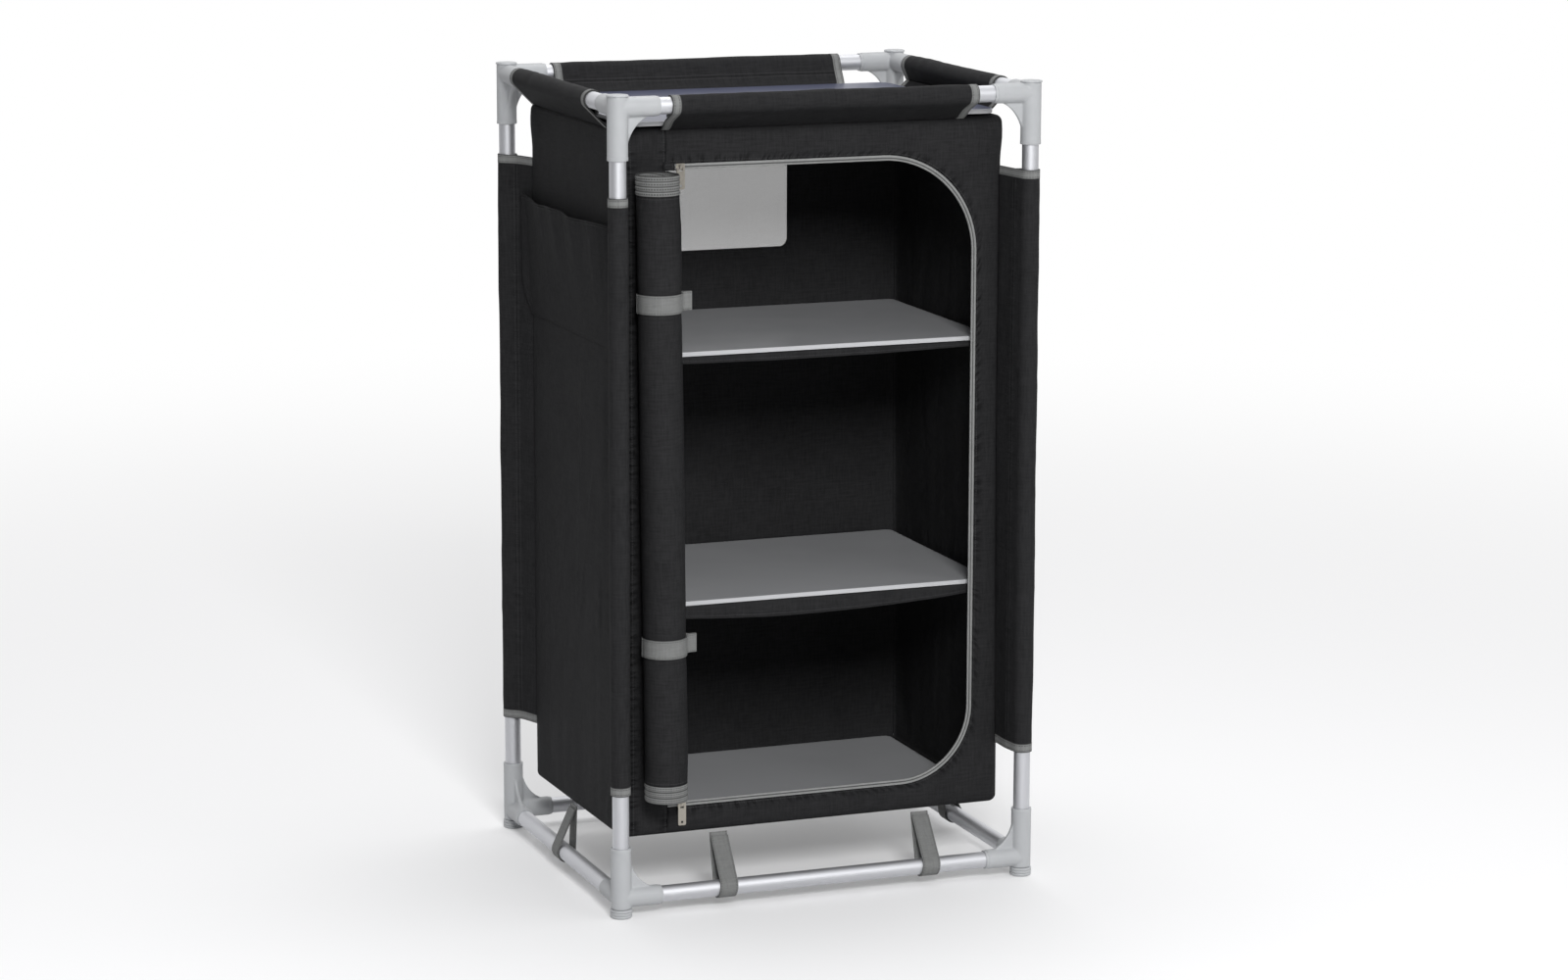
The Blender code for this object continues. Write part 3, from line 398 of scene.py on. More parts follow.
# %% Grey moulded polypropylene
def moulded_grey():
    """Injection moulded: a fine spark-eroded grain of about 0.4 mm, a soft gloss and hardly any change of colour."""
    made, tree = new_finish("polypropylene_moulded_grey")
    place = add(tree, "TexCoord").outputs["Object"]
    grain, cloud = noise(tree, place, 2500.0, 2.0), noise(tree, place, 40.0, 3.0)
    return shaded(made, {
        "Base Color": tinted(tree, cloud, "a9abad", "b3b5b7"), "Roughness": graded(tree, cloud, 0.40, 0.52),
        "IOR": 1.49, "Normal": relief(tree, grain, 0.00005, 0.4),
        "Subsurface Weight": 0.03, "Subsurface Radius": (0.004, 0.004, 0.004)})


MOULDED = moulded_grey()
print(MOULDED.name)

# %% Woven cloths
THREAD = 0.0012
STITCH_STEP, STITCH_SHARE, STITCH_HALF = 0.0034, 0.7, 0.00045
PUCKER_REACH = 0.016


def woven(name, dark, light, thread, rough, gloss, sheen, stitch_row, stitch_tone, puckers, edge_shade_wide, edge_shade_tone):
    """Plain weave: warp and weft are sine ridges a thread apart, and a check of the same size says which is on top.

    Yarn slubs are noise stretched along the threads. Beside seams, noise stretched across the seam puckers the cloth,
    and painted shade darkens its valleys. Dashes a set way in from the edge are the stitches, 7 tenths of each 3.4 mm
    step, and painted shade darkens the cloth towards its rim."""
    made, tree = new_finish(name)
    flat = add(tree, "UVMap", uv_map="weave").outputs[0]
    sewn = add(tree, "SeparateXYZ", {0: add(tree, "UVMap", uv_map="seam").outputs[0]})
    along, away = sewn.outputs[0], sewn.outputs[1]
    wave = {"Vector": flat, "Scale": math.pi / 10 / thread, "Distortion": 0.4, "Detail": 1.0}
    warp, weft = (add(tree, "TexWave", wave, wave_type="BANDS", bands_direction=axis).outputs["Fac"]
                  for axis in "XY")
    check = add(tree, "TexChecker", {"Vector": flat, "Scale": 1 / thread}).outputs["Fac"]
    threads = add(tree, "Mix", {0: check, 2: warp, 3: weft}).outputs[0]
    stretched = [add(tree, "Mapping", {"Vector": flat, "Scale": by}).outputs[0]
                 for by in ((380, 40, 1), (40, 340, 1))]
    slub = calc(tree, "ADD", *(noise(tree, place, 1.0, 3.0, 0.65) for place in stretched))
    cloud = noise(tree, flat, 14.0, 4.0)
    cloudy = add(tree, "Mix", {0: 0.35, 2: graded(tree, slub, start=0.62, end=1.38), 3: cloud}).outputs[0]

    dash = calc(tree, "FRACT", calc(tree, "MULTIPLY", along, 1 / STITCH_STEP))
    dash = calc(tree, "LESS_THAN", dash, STITCH_SHARE)
    stitch = calc(tree, "MULTIPLY", dash, calc(tree, "COMPARE", away, stitch_row, STITCH_HALF))
    near = graded(tree, away, 1.0, 0.0, end=PUCKER_REACH, interpolation_type="SMOOTHSTEP")
    # Painted shade: the pucker noise darkens the cloth's colour in its valleys beside seams, more for deeper puckers.
    crossing = {0: calc(tree, "MULTIPLY", along, 170.0), 1: calc(tree, "MULTIPLY", away, 45.0)}
    ripple = noise(tree, add(tree, "CombineXYZ", crossing).outputs[0], 1.0, 1.0)
    painted_valley_shade = calc(tree, "MULTIPLY", graded(tree, ripple, 0.0, 200 * puckers, 0.47, 0.6), near)

    tone = tinted(tree, calc(tree, "ADD", cloudy, calc(tree, "MULTIPLY", threads, 0.4)), dark, light)
    # Painted shade: the colour darkens towards a seam or edge, down to its set tone within its set width.
    rim = graded(tree, away, edge_shade_tone, 1.0, 0.0003, edge_shade_wide)
    tone = tinted(tree, 1.0, tone, rim, blend_type="MULTIPLY")
    tone = tinted(tree, stitch, tinted(tree, painted_valley_shade, tone, "050505"), stitch_tone)
    fine = relief(tree, calc(tree, "ADD", threads, calc(tree, "ADD", slub, stitch)), 0.00022, 0.7)
    puckered = relief(tree, calc(tree, "MULTIPLY", ripple, near), puckers, 1.0, fine)
    return shaded(made, {
        "Base Color": tone, "Roughness": rough, "IOR": 1.5, "Normal": relief(tree, cloud, 0.0025, 0.5, puckered),
        "Specular IOR Level": gloss, "Sheen Weight": sheen, "Sheen Roughness": 0.45})


# Each cloth's settings end with the width and depth of the painted shade along its seams and edges.
BLACK_YARN = ("161617", "303031", THREAD, 0.5, 0.02, 0.0)
BLACK_SEAMS = {"stitch_row": 0.003, "stitch_tone": "3c3c3d", "edge_shade_wide": 0.001, "edge_shade_tone": 0.5}
BLACK = woven("polyester_black_plain_weave", *BLACK_YARN, puckers=0.0008, **BLACK_SEAMS)
# The deeper puckers on the zip also give deeper painted shade in their valleys.
BLACK_EASED = woven("polyester_black_plain_weave_eased_on_zip", *BLACK_YARN, puckers=0.0030, **BLACK_SEAMS)
BINDING = woven("polyester_grey_ribbed_tape", "676867", "858685", 0.0014, 0.7, 0.2, 0.02,
                stitch_row=0.0028, stitch_tone="4c4d4c", puckers=0.0004, edge_shade_wide=0.0016, edge_shade_tone=0.22)
ZIP = woven("polyester_grey_zip_tape", "767776", "959695", 0.0012, 0.6, 0.3, 0.02,
            stitch_row=0.5, stitch_tone="4c4d4c", puckers=0.0002, edge_shade_wide=0.0014, edge_shade_tone=0.25)
WEBBING = woven("polypropylene_grey_webbing", "606160", "7d7e7d", 0.0018, 0.65, 0.2, 0.02,
                stitch_row=0.0022, stitch_tone="545554", puckers=0.0002, edge_shade_wide=0.0009, edge_shade_tone=0.6)
NET = woven("polyester_grey_net_thread", "9b9a9a", "abaaaa", 0.0006, 0.8, 0.2, 0.02,
            stitch_row=0.5, stitch_tone="8c8c8c", puckers=0.0, edge_shade_wide=0.0005, edge_shade_tone=1.0)
print([m.name for m in (BLACK, BLACK_EASED, BINDING, ZIP, WEBBING, NET)])

# %% Boards and zip metal
def laminate(name, dark, light, rough):
    """Pressed fibre board with a printed grey foil: semi-gloss, with a fine speckle of about 1 mm."""
    made, tree = new_finish(name)
    place = add(tree, "TexCoord").outputs["Object"]
    speck, cloud = noise(tree, place, 900.0, 3.0), noise(tree, place, 9.0, 4.0)
    blend = add(tree, "Mix", {0: 0.5, 2: speck, 3: cloud}).outputs[0]
    return shaded(made, {
        "Base Color": tinted(tree, blend, dark, light), "Roughness": graded(tree, cloud, rough - 0.05, rough + 0.06),
        "IOR": 1.5, "Normal": relief(tree, speck, 0.00003, 0.4)})


def plated_steel():
    """Stamped and nickel plated: warm grey, with light scuffs that change the gloss."""
    made, tree = new_finish("steel_stamped_nickel_plated")
    scuff = noise(tree, add(tree, "TexCoord").outputs["Object"], 700.0, 4.0)
    return shaded(made, {
        "Base Color": tinted(tree, scuff, "a8a298", "c2bdb3"), "Metallic": 1.0,
        "Roughness": graded(tree, scuff, 0.22, 0.4), "Normal": relief(tree, scuff, 0.00004, 0.5)})


BOARD = laminate("fibreboard_grey_foil", "a3a4a6", "aeafb1", 0.24)
# Painted reflection: the worktop is the shelves' grey board, coloured darker and bluer for the dark cloth it reflects
# at a glancing angle.
WORKTOP_PAINTED_REFLECTION = laminate("fibreboard_slate_foil", "484c62", "53576f", 0.3)
BOARD_EDGE = laminate("edge_band_pale_grey", "b2b3b5", "bcbdbf", 0.35)
STEEL = plated_steel()
print([m.name for m in (BOARD, WORKTOP_PAINTED_REFLECTION, BOARD_EDGE, STEEL)])

# %% [markdown]
# ## Tubes
#
# Twelve tubes of 22 mm carry the cupboard. Each is a turned profile: outer wall, a narrow chamfer at the cut, and the
# inner wall. A curve with a bevel would do too, but the profile gives real wall thickness at the open ends.

# %% Posts and rails
TUBE_WALL, TUBE_CHAMFER = 0.0012, 0.0002


def tube(node):
    """A hollow tube along its solid's longest side."""
    low, high = reach(node)
    axis = int(np.argmax(high - low))
    half, drawn_in = (high - low)[axis] / 2, TUBE_RADIUS - TUBE_CHAMFER
    side = np.linspace(-half + TUBE_CHAMFER, half - TUBE_CHAMFER, 9)
    outer = [(TUBE_RADIUS, s) for s in side]
    inner = [(TUBE_RADIUS - TUBE_WALL, s) for s in side[::-1]]
    profile = [(drawn_in, -half), *outer, (drawn_in, half), *inner, (drawn_in, -half)]
    piece = lay("tube_" + node, [turned(profile, (low + high) / 2, np.eye(3)[axis])], ALUMINIUM, weld=True)
    return settle(crisp(piece), "aluminium", node)


TUBE_KINDS = ("post_front", "post_rear", "top_rail", "bottom_rail")
tubes = [tube(name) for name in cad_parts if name.startswith(TUBE_KINDS)]
print(len(tubes), "tubes")

# %% [markdown]
# ## Moulded corners
#
# A corner is one moulding: a socket for the post, two for the rails, and a curved web between them. What tells a
# moulding from glued cylinders is the soft fillet where the forms meet. So the plain forms are joined, remeshed to
# one skin and smoothed a little, which rounds every inner corner. A hollow for each tube is cut, and a turned ring
# ends each arm crisply. One corner is made, and the others are its mirror images.

# %% One corner, worked out at the origin
CROWN, POST_ARM, RAIL_ARM, SOCKET_DEPTH, WEB = 0.014, 0.068, 0.055, 0.040, 0.005
ARM_RADII = {"post": 0.0135, "wide": 0.0132, "deep": 0.0130}
ARMS = (("post", POST_ARM), ("wide", RAIL_ARM), ("deep", RAIL_ARM))
RING, RING_WIDE, RING_EASE = 0.0028, 0.005, 0.0006
RING_STANDS_OUT = {"post": 0.0002, "wide": -0.0007, "deep": -0.0007}
WEB_FOOT, WEB_TIP = 0.011, 0.003
RAIL_ARM_BACK = 0.0012
VOXEL, FILLET_ROUNDS = 0.0011, 6
AXES = {"wide": (1, 0, 0), "deep": (0, 1, 0), "post": (0, 0, 1)}


def rod(radius, start, end, way, sides=96):
    """A closed cylinder from start to end along a way through the origin."""
    return turned([(0, start), (radius, start), (radius, end), (0, end)], (0, 0, 0), way, sides)


def web(way):
    """The web between the post and a rail arm: a fan from the arms' meeting point to a quarter of an ellipse that
    curves inwards, on two faces and the rim between them."""
    way, up = np.asarray(way, float), np.array([0, 0, 1.0])
    across = np.cross(way, up)
    long, tall = RAIL_ARM - RING, POST_ARM - RING
    t = np.linspace(math.pi / 2, 0, 33)
    curve = np.stack([long - (long - WEB_FOOT) * np.cos(t), tall - (tall - WEB_FOOT) * np.sin(t)], 1)
    outline = np.vstack([[(0, 0), (long, 0)], curve, [(0, tall)]])
    middle_point = np.full_like(outline, WEB_TIP)
    rows = [(middle_point, -1), (outline, -1), (outline, 1), (middle_point, 1)]
    points = np.array([p[:, :1] * way + p[:, 1:] * up + side * WEB / 2 * across for p, side in rows])
    return patch(points, np.zeros((4, len(outline) + 1, 2)), closed=True)


def corner_moulding():
    """The joined, remeshed and smoothed corner with its three hollows, as points and faces."""
    forms = [rod(ARM_RADII["post"], -CROWN, POST_ARM - RING, AXES["post"])]
    forms += [rod(ARM_RADII[k], -RAIL_ARM_BACK, RAIL_ARM - RING, AXES[k]) for k in ("wide", "deep")]
    forms += [web(AXES[k]) for k in ("wide", "deep")]
    body = lay("corner_form", forms, MOULDED, weld=True)
    remesh = body.modifiers.new("one_skin", "REMESH")
    remesh.mode = "VOXEL"
    remesh.voxel_size = VOXEL
    ease = body.modifiers.new("fillets", "SMOOTH")
    ease.iterations = FILLET_ROUNDS
    hollows = [rod(TUBE_RADIUS + FIT, arm - SOCKET_DEPTH, arm + 0.01, AXES[k], 64) for k, arm in ARMS]
    tool = lay("corner_hollows", hollows, MOULDED, weld=True)
    cut = body.modifiers.new("hollows", "BOOLEAN")
    cut.operation = "DIFFERENCE"
    cut.solver = "EXACT"
    cut.use_self = True
    cut.object = tool
    evaluated = body.evaluated_get(bpy.context.evaluated_depsgraph_get()).to_mesh()
    points = np.empty(len(evaluated.vertices) * 3)
    evaluated.vertices.foreach_get("co", points)
    faces = [tuple(p.vertices) for p in evaluated.polygons]
    for spare in (body, tool):
        bpy.data.objects.remove(spare)
    return points.reshape(-1, 3), faces


corner_points, corner_faces = corner_moulding()
print("corner:", len(corner_points), "points,", len(corner_faces), "faces")

# %% Eight corners, each a mirror image of the one
CAP_RADIUS, CAP_TOP, CAP_THICK = 0.0145, CROWN + 0.002, 0.0024


def bead(radius, bore, start, end, ease):
    """A ring with eased outer edges, as a closed profile of (radius, way along)."""
    return [(bore, start), (radius - ease, start), (radius, start + ease), (radius, end - ease),
            (radius - ease * 0.3, end - ease * 0.3), (radius - ease, end), (bore, end), (bore, start)]


def corner(node, side_x, side_y, upper):
    """The corner moved to its place, with each axis turned about where the arms point the other way. Each arm ends in
    a ring, and an upper corner has a disc cap."""
    flips = np.array([-side_x, -side_y, -1 if upper else 1])
    centre = np.array([side_x * POST_X, side_y * POST_Y, RAIL_TOP if upper else RAIL_LOW])
    mesh = bpy.data.meshes.new("moulding")
    faces = corner_faces if flips.prod() > 0 else [face[::-1] for face in corner_faces]
    mesh.from_pydata((corner_points * flips + centre).tolist(), [], faces)
    mesh.materials.append(MOULDED)
    mesh.shade_smooth()
    piece = bpy.data.objects.new("moulding_" + node, mesh)
    scene.collection.objects.link(piece)
    crisp(piece, 50)
    settle(piece, "corner", node)
    rings = []
    for k, arm in ARMS:
        profile = bead(ARM_RADII[k] + RING_STANDS_OUT[k], TUBE_RADIUS + FIT, arm - RING_WIDE, arm, RING_EASE)
        rings.append(turned(profile, centre, np.array(AXES[k]) * flips))
    if upper:
        r, top, base = CAP_RADIUS, CAP_TOP, CAP_TOP - CAP_THICK
        side = [(r, base), (r, top - 0.0011), (r - 0.0003, top - 0.0005), (r - 0.0009, top - 0.0001)]
        rings.append(turned([(0, base), *side, (r - 0.002, top), (0, top)], centre, (0, 0, 1)))
    ring_piece = lay("rings_" + node, rings, MOULDED, weld=True)
    return piece, settle(crisp(ring_piece), "corner", node)


SIDES = {"front_left": (-1, -1), "front_right": (1, -1), "rear_left": (-1, 1), "rear_right": (1, 1)}
corners = [corner(f"{level}_corner_{place}", *sides, level == "upper")
           for place, sides in SIDES.items() for level in ("upper", "lower")]
print(len(corners), "corners")

# %% Ringed feet
FOOT_RINGS, GROOVE_DEEP, SOLE_EASE = 3, 0.0011, (0.0008, 0.0006)


def foot(place, side_x, side_y):
    """A foot cap whose side is rounded rings: the radius follows the square root of a sine's upper half."""
    low, high = reach(f"foot_cap_{place}")
    z = np.linspace(low[2] + SOLE_EASE[1], high[2], 46)
    wave = np.abs(np.sin(math.pi * FOOT_RINGS * (z - z[0]) / (z[-1] - z[0]))) ** 0.5
    radius = (high[0] - low[0]) / 2 - GROOVE_DEEP * (1 - wave)
    profile = [(0, low[2]), (radius[0] - SOLE_EASE[0], low[2]), *zip(radius, z), (0, high[2])]
    surface = turned(profile, (side_x * POST_X, side_y * POST_Y, 0), (0, 0, 1))
    piece = lay(f"foot_{place}", [surface], MOULDED, weld=True)
    return settle(crisp(piece, 45), "corner", f"foot_cap_{place}")


feet = [foot(place, *sides) for place, sides in SIDES.items()]
print(len(feet), "feet")

# %% [markdown]
# ## The cloth box
#
# Six cloth walls are sewn along the box's edges. A sewn box has soft edges, so every wall's points go through one
# function that rounds the box: a point is pulled back to the box shrunk by the radius, and pushed out again by the
# radius along the way it came. Walls that share an edge still meet, because they share the function.

# %% The rounded box
SOFT = 0.009
EDGE_PULL = SOFT * (1 - math.sqrt(0.5))
HALF = np.array([BOX_X, BOX_Y, (BOX_TOP - BOX_LOW) / 2]) - CLOTH / 2
BOX_MIDDLE = np.array([0, 0, (BOX_TOP + BOX_LOW) / 2])
CORNER_PULL = (0.0034, 0.0026)
PULL_IN, PULL_BELOW, PULL_REACH = 0.016, 0.024, 0.042
REAR_LEFT_DROP = 0.005
RIGHT_FLARE, FLARE_REACH = 0.0045, 0.6


def flare(z):
    """How far the box's right side stands out at a height: 4.5 mm at the bottom, nothing from 0.6 m above it."""
    return RIGHT_FLARE * fade(z - BOX_LOW, FLARE_REACH)


def soften(points):
    """Points of the sharp box on the rounded one: q is the point held inside the shrunk box, and the result is q
    plus the radius along the way from q to the point. Then comes what the frame and its own weight do to the box: the
    upper corners are drawn outwards, the bottom's rear left corner hangs lower, and the right side flares."""
    local = points - BOX_MIDDLE
    held = np.clip(local, SOFT - HALF, HALF - SOFT)
    out = local - held
    rounded = held + SOFT * out / np.maximum(np.linalg.norm(out, axis=-1, keepdims=True), 1e-9) + BOX_MIDDLE
    gap = np.abs(rounded[..., :2]) - HALF[:2] + PULL_IN
    below = rounded[..., 2] - BOX_TOP + PULL_BELOW
    near = fade(np.sqrt(np.sum(gap ** 2, axis=-1) + below ** 2), PULL_REACH)
    rounded[..., :2] += np.sign(rounded[..., :2]) * near[..., None] * CORNER_PULL
    share = (1 - rounded[..., 0] / HALF[0]) * (1 + rounded[..., 1] / HALF[1]) / 4
    rounded[..., 2] -= REAR_LEFT_DROP * share * fade(rounded[..., 2] - BOX_LOW, 0.25)
    rounded[..., 0] += np.clip(rounded[..., 0] / HALF[0] * 7 - 6, 0, 1) * flare(rounded[..., 2])
    return rounded


def rows_to_edge(low, high, step, fine=0.0018):
    """Places from low to high, closer together within the soft radius of both ends."""
    ends = np.arange(0, SOFT, fine)
    inner = np.linspace(low + SOFT, high - SOFT, max(2, round((high - low - 2 * SOFT) / step)))
    return np.concatenate([low + ends, inner, high - ends[::-1]])


def edge_distance(a, b, low_a, high_a, low_b, high_b):
    """Way along and distance from the nearest of four straight edges."""
    gaps = np.stack([a - low_a, high_a - a, b - low_b, high_b - b])
    along = np.where(np.argmin(gaps, axis=0) < 2, b, a)
    return np.stack([along, gaps.min(axis=0)], -1)


def wall(name, a, b, axis, level, bulge, node, flip):
    """A flat wall on two of the axes, softened at its edges and moved by its bulge along the third."""
    first, second = [k for k in range(3) if k != axis]
    grid_a, grid_b = np.meshgrid(a, b, indexing="ij")
    points = np.empty((*grid_a.shape, 3))
    points[..., first], points[..., second], points[..., axis] = grid_a, grid_b, level
    points = soften(points)
    points[..., axis] += bulge(grid_a, grid_b)
    seam = edge_distance(grid_a, grid_b, a[0], a[-1], b[0], b[-1])
    piece = thicken(lay(name, [patch(points, np.stack([grid_a, grid_b], -1), seam, flip=flip)], BLACK), CLOTH)
    settle(piece, "cloth", node)
    return piece


X_LOW, X_HIGH = -HALF[0], HALF[0]
Y_LOW, Y_HIGH = -HALF[1], HALF[1]
Z_LOW, Z_HIGH = BOX_LOW + CLOTH / 2, BOX_TOP - CLOTH / 2
print("box half sizes", np.round(HALF, 4))

# %% Side walls, top and floor
FOLDS_TOP = reach("side_pocket")[0][2] - 0.02
SEWN_LEVELS = [reach(f"{name}_shelf_board")[0][2] - 0.001 for name in ("upper", "lower")]


def side_folds(sign, seed):
    """Upright folds, as on cloth that hangs from its top hem. On the left they start below the pocket. Beside each
    level where a sling is sewn on, small ripples run across the seam, and the seam itself is drawn in."""
    def bulge(y, z):
        calm = 1 - fade(edge_distance(y, z, Y_LOW, Y_HIGH, Z_LOW, Z_HIGH)[..., 1], 0.03)
        if sign < 0:
            calm = calm * (1 - fade(FOLDS_TOP - z, 0.06))
        upright = lumps(y + 0.04 * lumps(y, z, 0.2, 0.3, seed + 2), z, 0.045, 0.5, seed)
        small = lumps(y, z, 0.018, 0.16, seed + 1)
        line = lumps(y + 0.16 * z + 0.03 * lumps(y, z, 0.1, 0.2, seed + 3), z, 0.05, 0.35, seed + 4)
        crease = (1 - np.clip(np.abs(line) / 0.22, 0, 1)) ** 2
        folds = calm * (0.0014 + 0.0016 * upright + 0.0006 * small + 0.0012 * crease)
        ripples = lumps(y, z, 0.0075, 0.15, seed + 5) + 0.5 * lumps(y, z, 0.02, 0.2, seed + 6)
        for level in SEWN_LEVELS:
            off = np.abs(z - level)
            rippled = 0.0011 * ripples * fade(off, 0.055) * (1 - fade(off, 0.004))
            folds = folds + calm * (rippled - 0.0008 * fade(off, 0.006))
        return sign * folds
    return bulge


def sag(depth, size_x, size_y, seed):
    """A level wall sinks in its middle, where neither hem nor strap holds it: a parabola both ways."""
    def bulge(x, y):
        share = (1 - (x / HALF[0]) ** 2) * (1 - (y / HALF[1]) ** 2)
        return -depth * share + 0.0004 * lumps(x, y, size_x, size_y, seed) * share
    return bulge


ys, zs = rows_to_edge(Y_LOW, Y_HIGH, 0.006), rows_to_edge(Z_LOW, Z_HIGH, 0.010)
xs = rows_to_edge(X_LOW, X_HIGH, 0.008)
TOP_SAG, FLOOR_SAG = sag(0.0035, 0.06, 0.05, 31), sag(0.0015, 0.05, 0.06, 32)
walls = [
    wall("left_wall", ys, zs, 0, X_LOW, side_folds(-1, 11), "left_panel", True),
    wall("right_wall", ys, zs, 0, X_HIGH, side_folds(1, 21), "right_panel", False),
    wall("top_wall", xs, ys, 2, Z_HIGH, TOP_SAG, "top_panel", False),
    wall("floor_wall", xs, ys, 2, Z_LOW, FLOOR_SAG, "floor_panel", True),
]
print("walls of", [len(piece.data.polygons) for piece in walls], "quads")

# %% Rear wall with its window hole
WINDOW_LOW, WINDOW_HIGH = reach("vent_mesh")
WINDOW_INSET, WINDOW_ROUND = 0.008, 0.012
WINDOW_LOW, WINDOW_HIGH = WINDOW_LOW[[0, 2]] + WINDOW_INSET, WINDOW_HIGH[[0, 2]] - WINDOW_INSET


def round_corner(corner_at, inward, radius, steps=9):
    """Points of a quarter circle that rounds off a corner, from its upright side to its level one."""
    corner_at, inward = np.asarray(corner_at, float), np.asarray(inward, float)
    angle = np.linspace(0, math.pi / 2, steps)
    centre = corner_at + inward * radius
    return centre - inward * radius * np.stack([np.cos(angle), np.sin(angle)], 1)


def loop_of(low, high, radius):
    """A rounded rectangle as four runs, each from the middle of one corner to the middle of the next."""
    places = (((low[0], low[1]), (1, 1)), ((low[0], high[1]), (1, -1)),
              ((high[0], high[1]), (-1, -1)), ((high[0], low[1]), (-1, 1)))
    turns = [round_corner(*given, radius)[::1 if k % 2 else -1] for k, given in enumerate(places)]
    mid = len(turns[0]) // 2
    return [np.vstack([turns[k][mid:], turns[(k + 1) % 4][:mid + 1]]) for k in range(4)]


def sides_of(corners_in_turn):
    """The straight runs between corners."""
    return [np.array(corners_in_turn[k:k + 2], float) for k in range(len(corners_in_turn) - 1)]


def matched(runs, counts):
    """Runs that follow on one another, as one path with so many points along each."""
    return np.vstack([evenly(run, count)[:-1] for run, count in zip(runs, counts)] + [runs[-1][-1:]])


def frame_grid(inner_runs, outer_runs, counts, shares):
    """A surround between two outlines in matched runs: straight lines from each inner point to its outer one. The
    second result is its seam map, the way along the inner outline and the distance from it."""
    inner, outer = matched(inner_runs, counts), matched(outer_runs, counts)
    grid = inner + (outer - inner) * shares[:, None, None]
    away = shares[:, None] * np.linalg.norm(grid[-1] - grid[0], axis=1)
    return grid, np.stack([np.broadcast_to(lengths(inner), away.shape), away], -1)


def upright_face(x, z, y):
    """Points of the front or rear wall, softened towards the box's edges."""
    return soften(np.stack([x, np.full_like(x, y), z], -1))


rear_outer = sides_of([(X_LOW, Z_LOW), (X_LOW, Z_HIGH), (X_HIGH, Z_HIGH), (X_HIGH, Z_LOW), (X_LOW, Z_LOW)])
rear_inner = loop_of(WINDOW_LOW, WINDOW_HIGH, WINDOW_ROUND)
shares = np.concatenate([np.linspace(0, 0.06, 5)[:-1], np.linspace(0.06, 0.95, 40)[:-1], np.linspace(0.95, 1, 6)])
rear_flat, rear_seam = frame_grid(rear_inner, rear_outer, (60, 60, 60, 60), shares)
x, z = rear_flat[..., 0], rear_flat[..., 1]
rear_points = upright_face(x, z, Y_HIGH)
rim = edge_distance(x, z, X_LOW, X_HIGH, Z_LOW, Z_HIGH)[..., 1]
calm = (1 - fade(rim, 0.05)) * (1 - fade(rear_seam[..., 1], 0.03))
rear_points[..., 1] += calm * (0.0015 + 0.002 * lumps(x, z, 0.07, 0.3, 41))
rear_wall = thicken(lay("rear_wall", [patch(rear_points, rear_flat, rear_seam)], BLACK, weld=True), CLOTH)
settle(rear_wall, "cloth", "rear_panel")
print("window", np.round(WINDOW_HIGH - WINDOW_LOW, 4))

# %% [markdown]
# ## Front wall
#
# The front is sewn from two pieces: an upright strip at the left that the door's seam is on, and a surround that goes
# round the other three sides of the opening. The surround's rows run from the zip to the box's edge, so its puckers
# start 1.5 mm from the zip and die out over 20 mm.

# %% Left strip and surround
def arc(centre, radius, start, end, steps):
    """Points of an arc between two angles in degrees."""
    angle = np.radians(np.linspace(start, end, steps))
    return np.stack([centre[0] + radius * np.cos(angle), centre[1] + radius * np.sin(angle)], 1)


def door_line(inset, steps=41):
    """The zip's line moved inwards by inset: along the top, round the two right corners and back along the bottom.
    Its three runs break in the middle of each round corner."""
    right = ZIP_RIGHT - inset
    top = (ZIP_RIGHT - ZIP_TOP_RADIUS, ZIP_TOP - ZIP_TOP_RADIUS)
    low = (ZIP_RIGHT - ZIP_BOTTOM_RADIUS, ZIP_BOTTOM + ZIP_BOTTOM_RADIUS)
    upper, lower = arc(top, right - top[0], 90, 0, steps), arc(low, right - low[0], 0, -90, steps)
    half = steps // 2
    start, end = (DOOR_SEAM, ZIP_TOP - inset), (DOOR_SEAM, ZIP_BOTTOM + inset)
    return [np.vstack([start, upper[:half + 1]]), np.vstack([upper[half:], lower[:half + 1]]),
            np.vstack([lower[half:], end])]


OUTSIDE = -ZIP_WIDTH / 2 - FIT
surround_outer = sides_of([(DOOR_SEAM, Z_HIGH), (X_HIGH, Z_HIGH), (X_HIGH, Z_LOW), (DOOR_SEAM, Z_LOW)])
shares = np.concatenate([np.linspace(0, 0.3, 9)[:-1], np.linspace(0.3, 0.8, 8)[:-1], np.linspace(0.8, 1, 9)])
front_flat, front_seam = frame_grid(door_line(OUTSIDE), surround_outer, (280, 300, 160), shares)
x, z = front_flat[..., 0], front_flat[..., 1]
along, from_zip = front_seam[..., 0], front_seam[..., 1]
front_points = upright_face(x, z, Y_LOW)
to_edge = np.minimum(np.minimum(X_HIGH - x, Z_HIGH - z), z - Z_LOW)
soft_middle = (1 - fade(from_zip, 0.02)) * (1 - fade(to_edge, 0.02))
pucker = 0.0016 * lumps(along, from_zip, 0.0045, 0.03, 51) * fade(from_zip, 0.02)
pucker = pucker * np.clip(from_zip / 0.002 - 0.75, 0, 1)
bulge = soft_middle * (0.0012 + 0.0014 * lumps(x, z, 0.07, 0.07, 52))
top_corner = fade(np.hypot(X_HIGH - 0.03 - x, Z_HIGH - 0.03 - z), 0.06)
front_points[..., 1] -= bulge + pucker + 0.003 * top_corner * soft_middle
surround = lay("front_surround", [patch(front_points, front_flat, front_seam, flip=True)], BLACK_EASED)
settle(thicken(surround, CLOTH), "cloth", "front_panel")

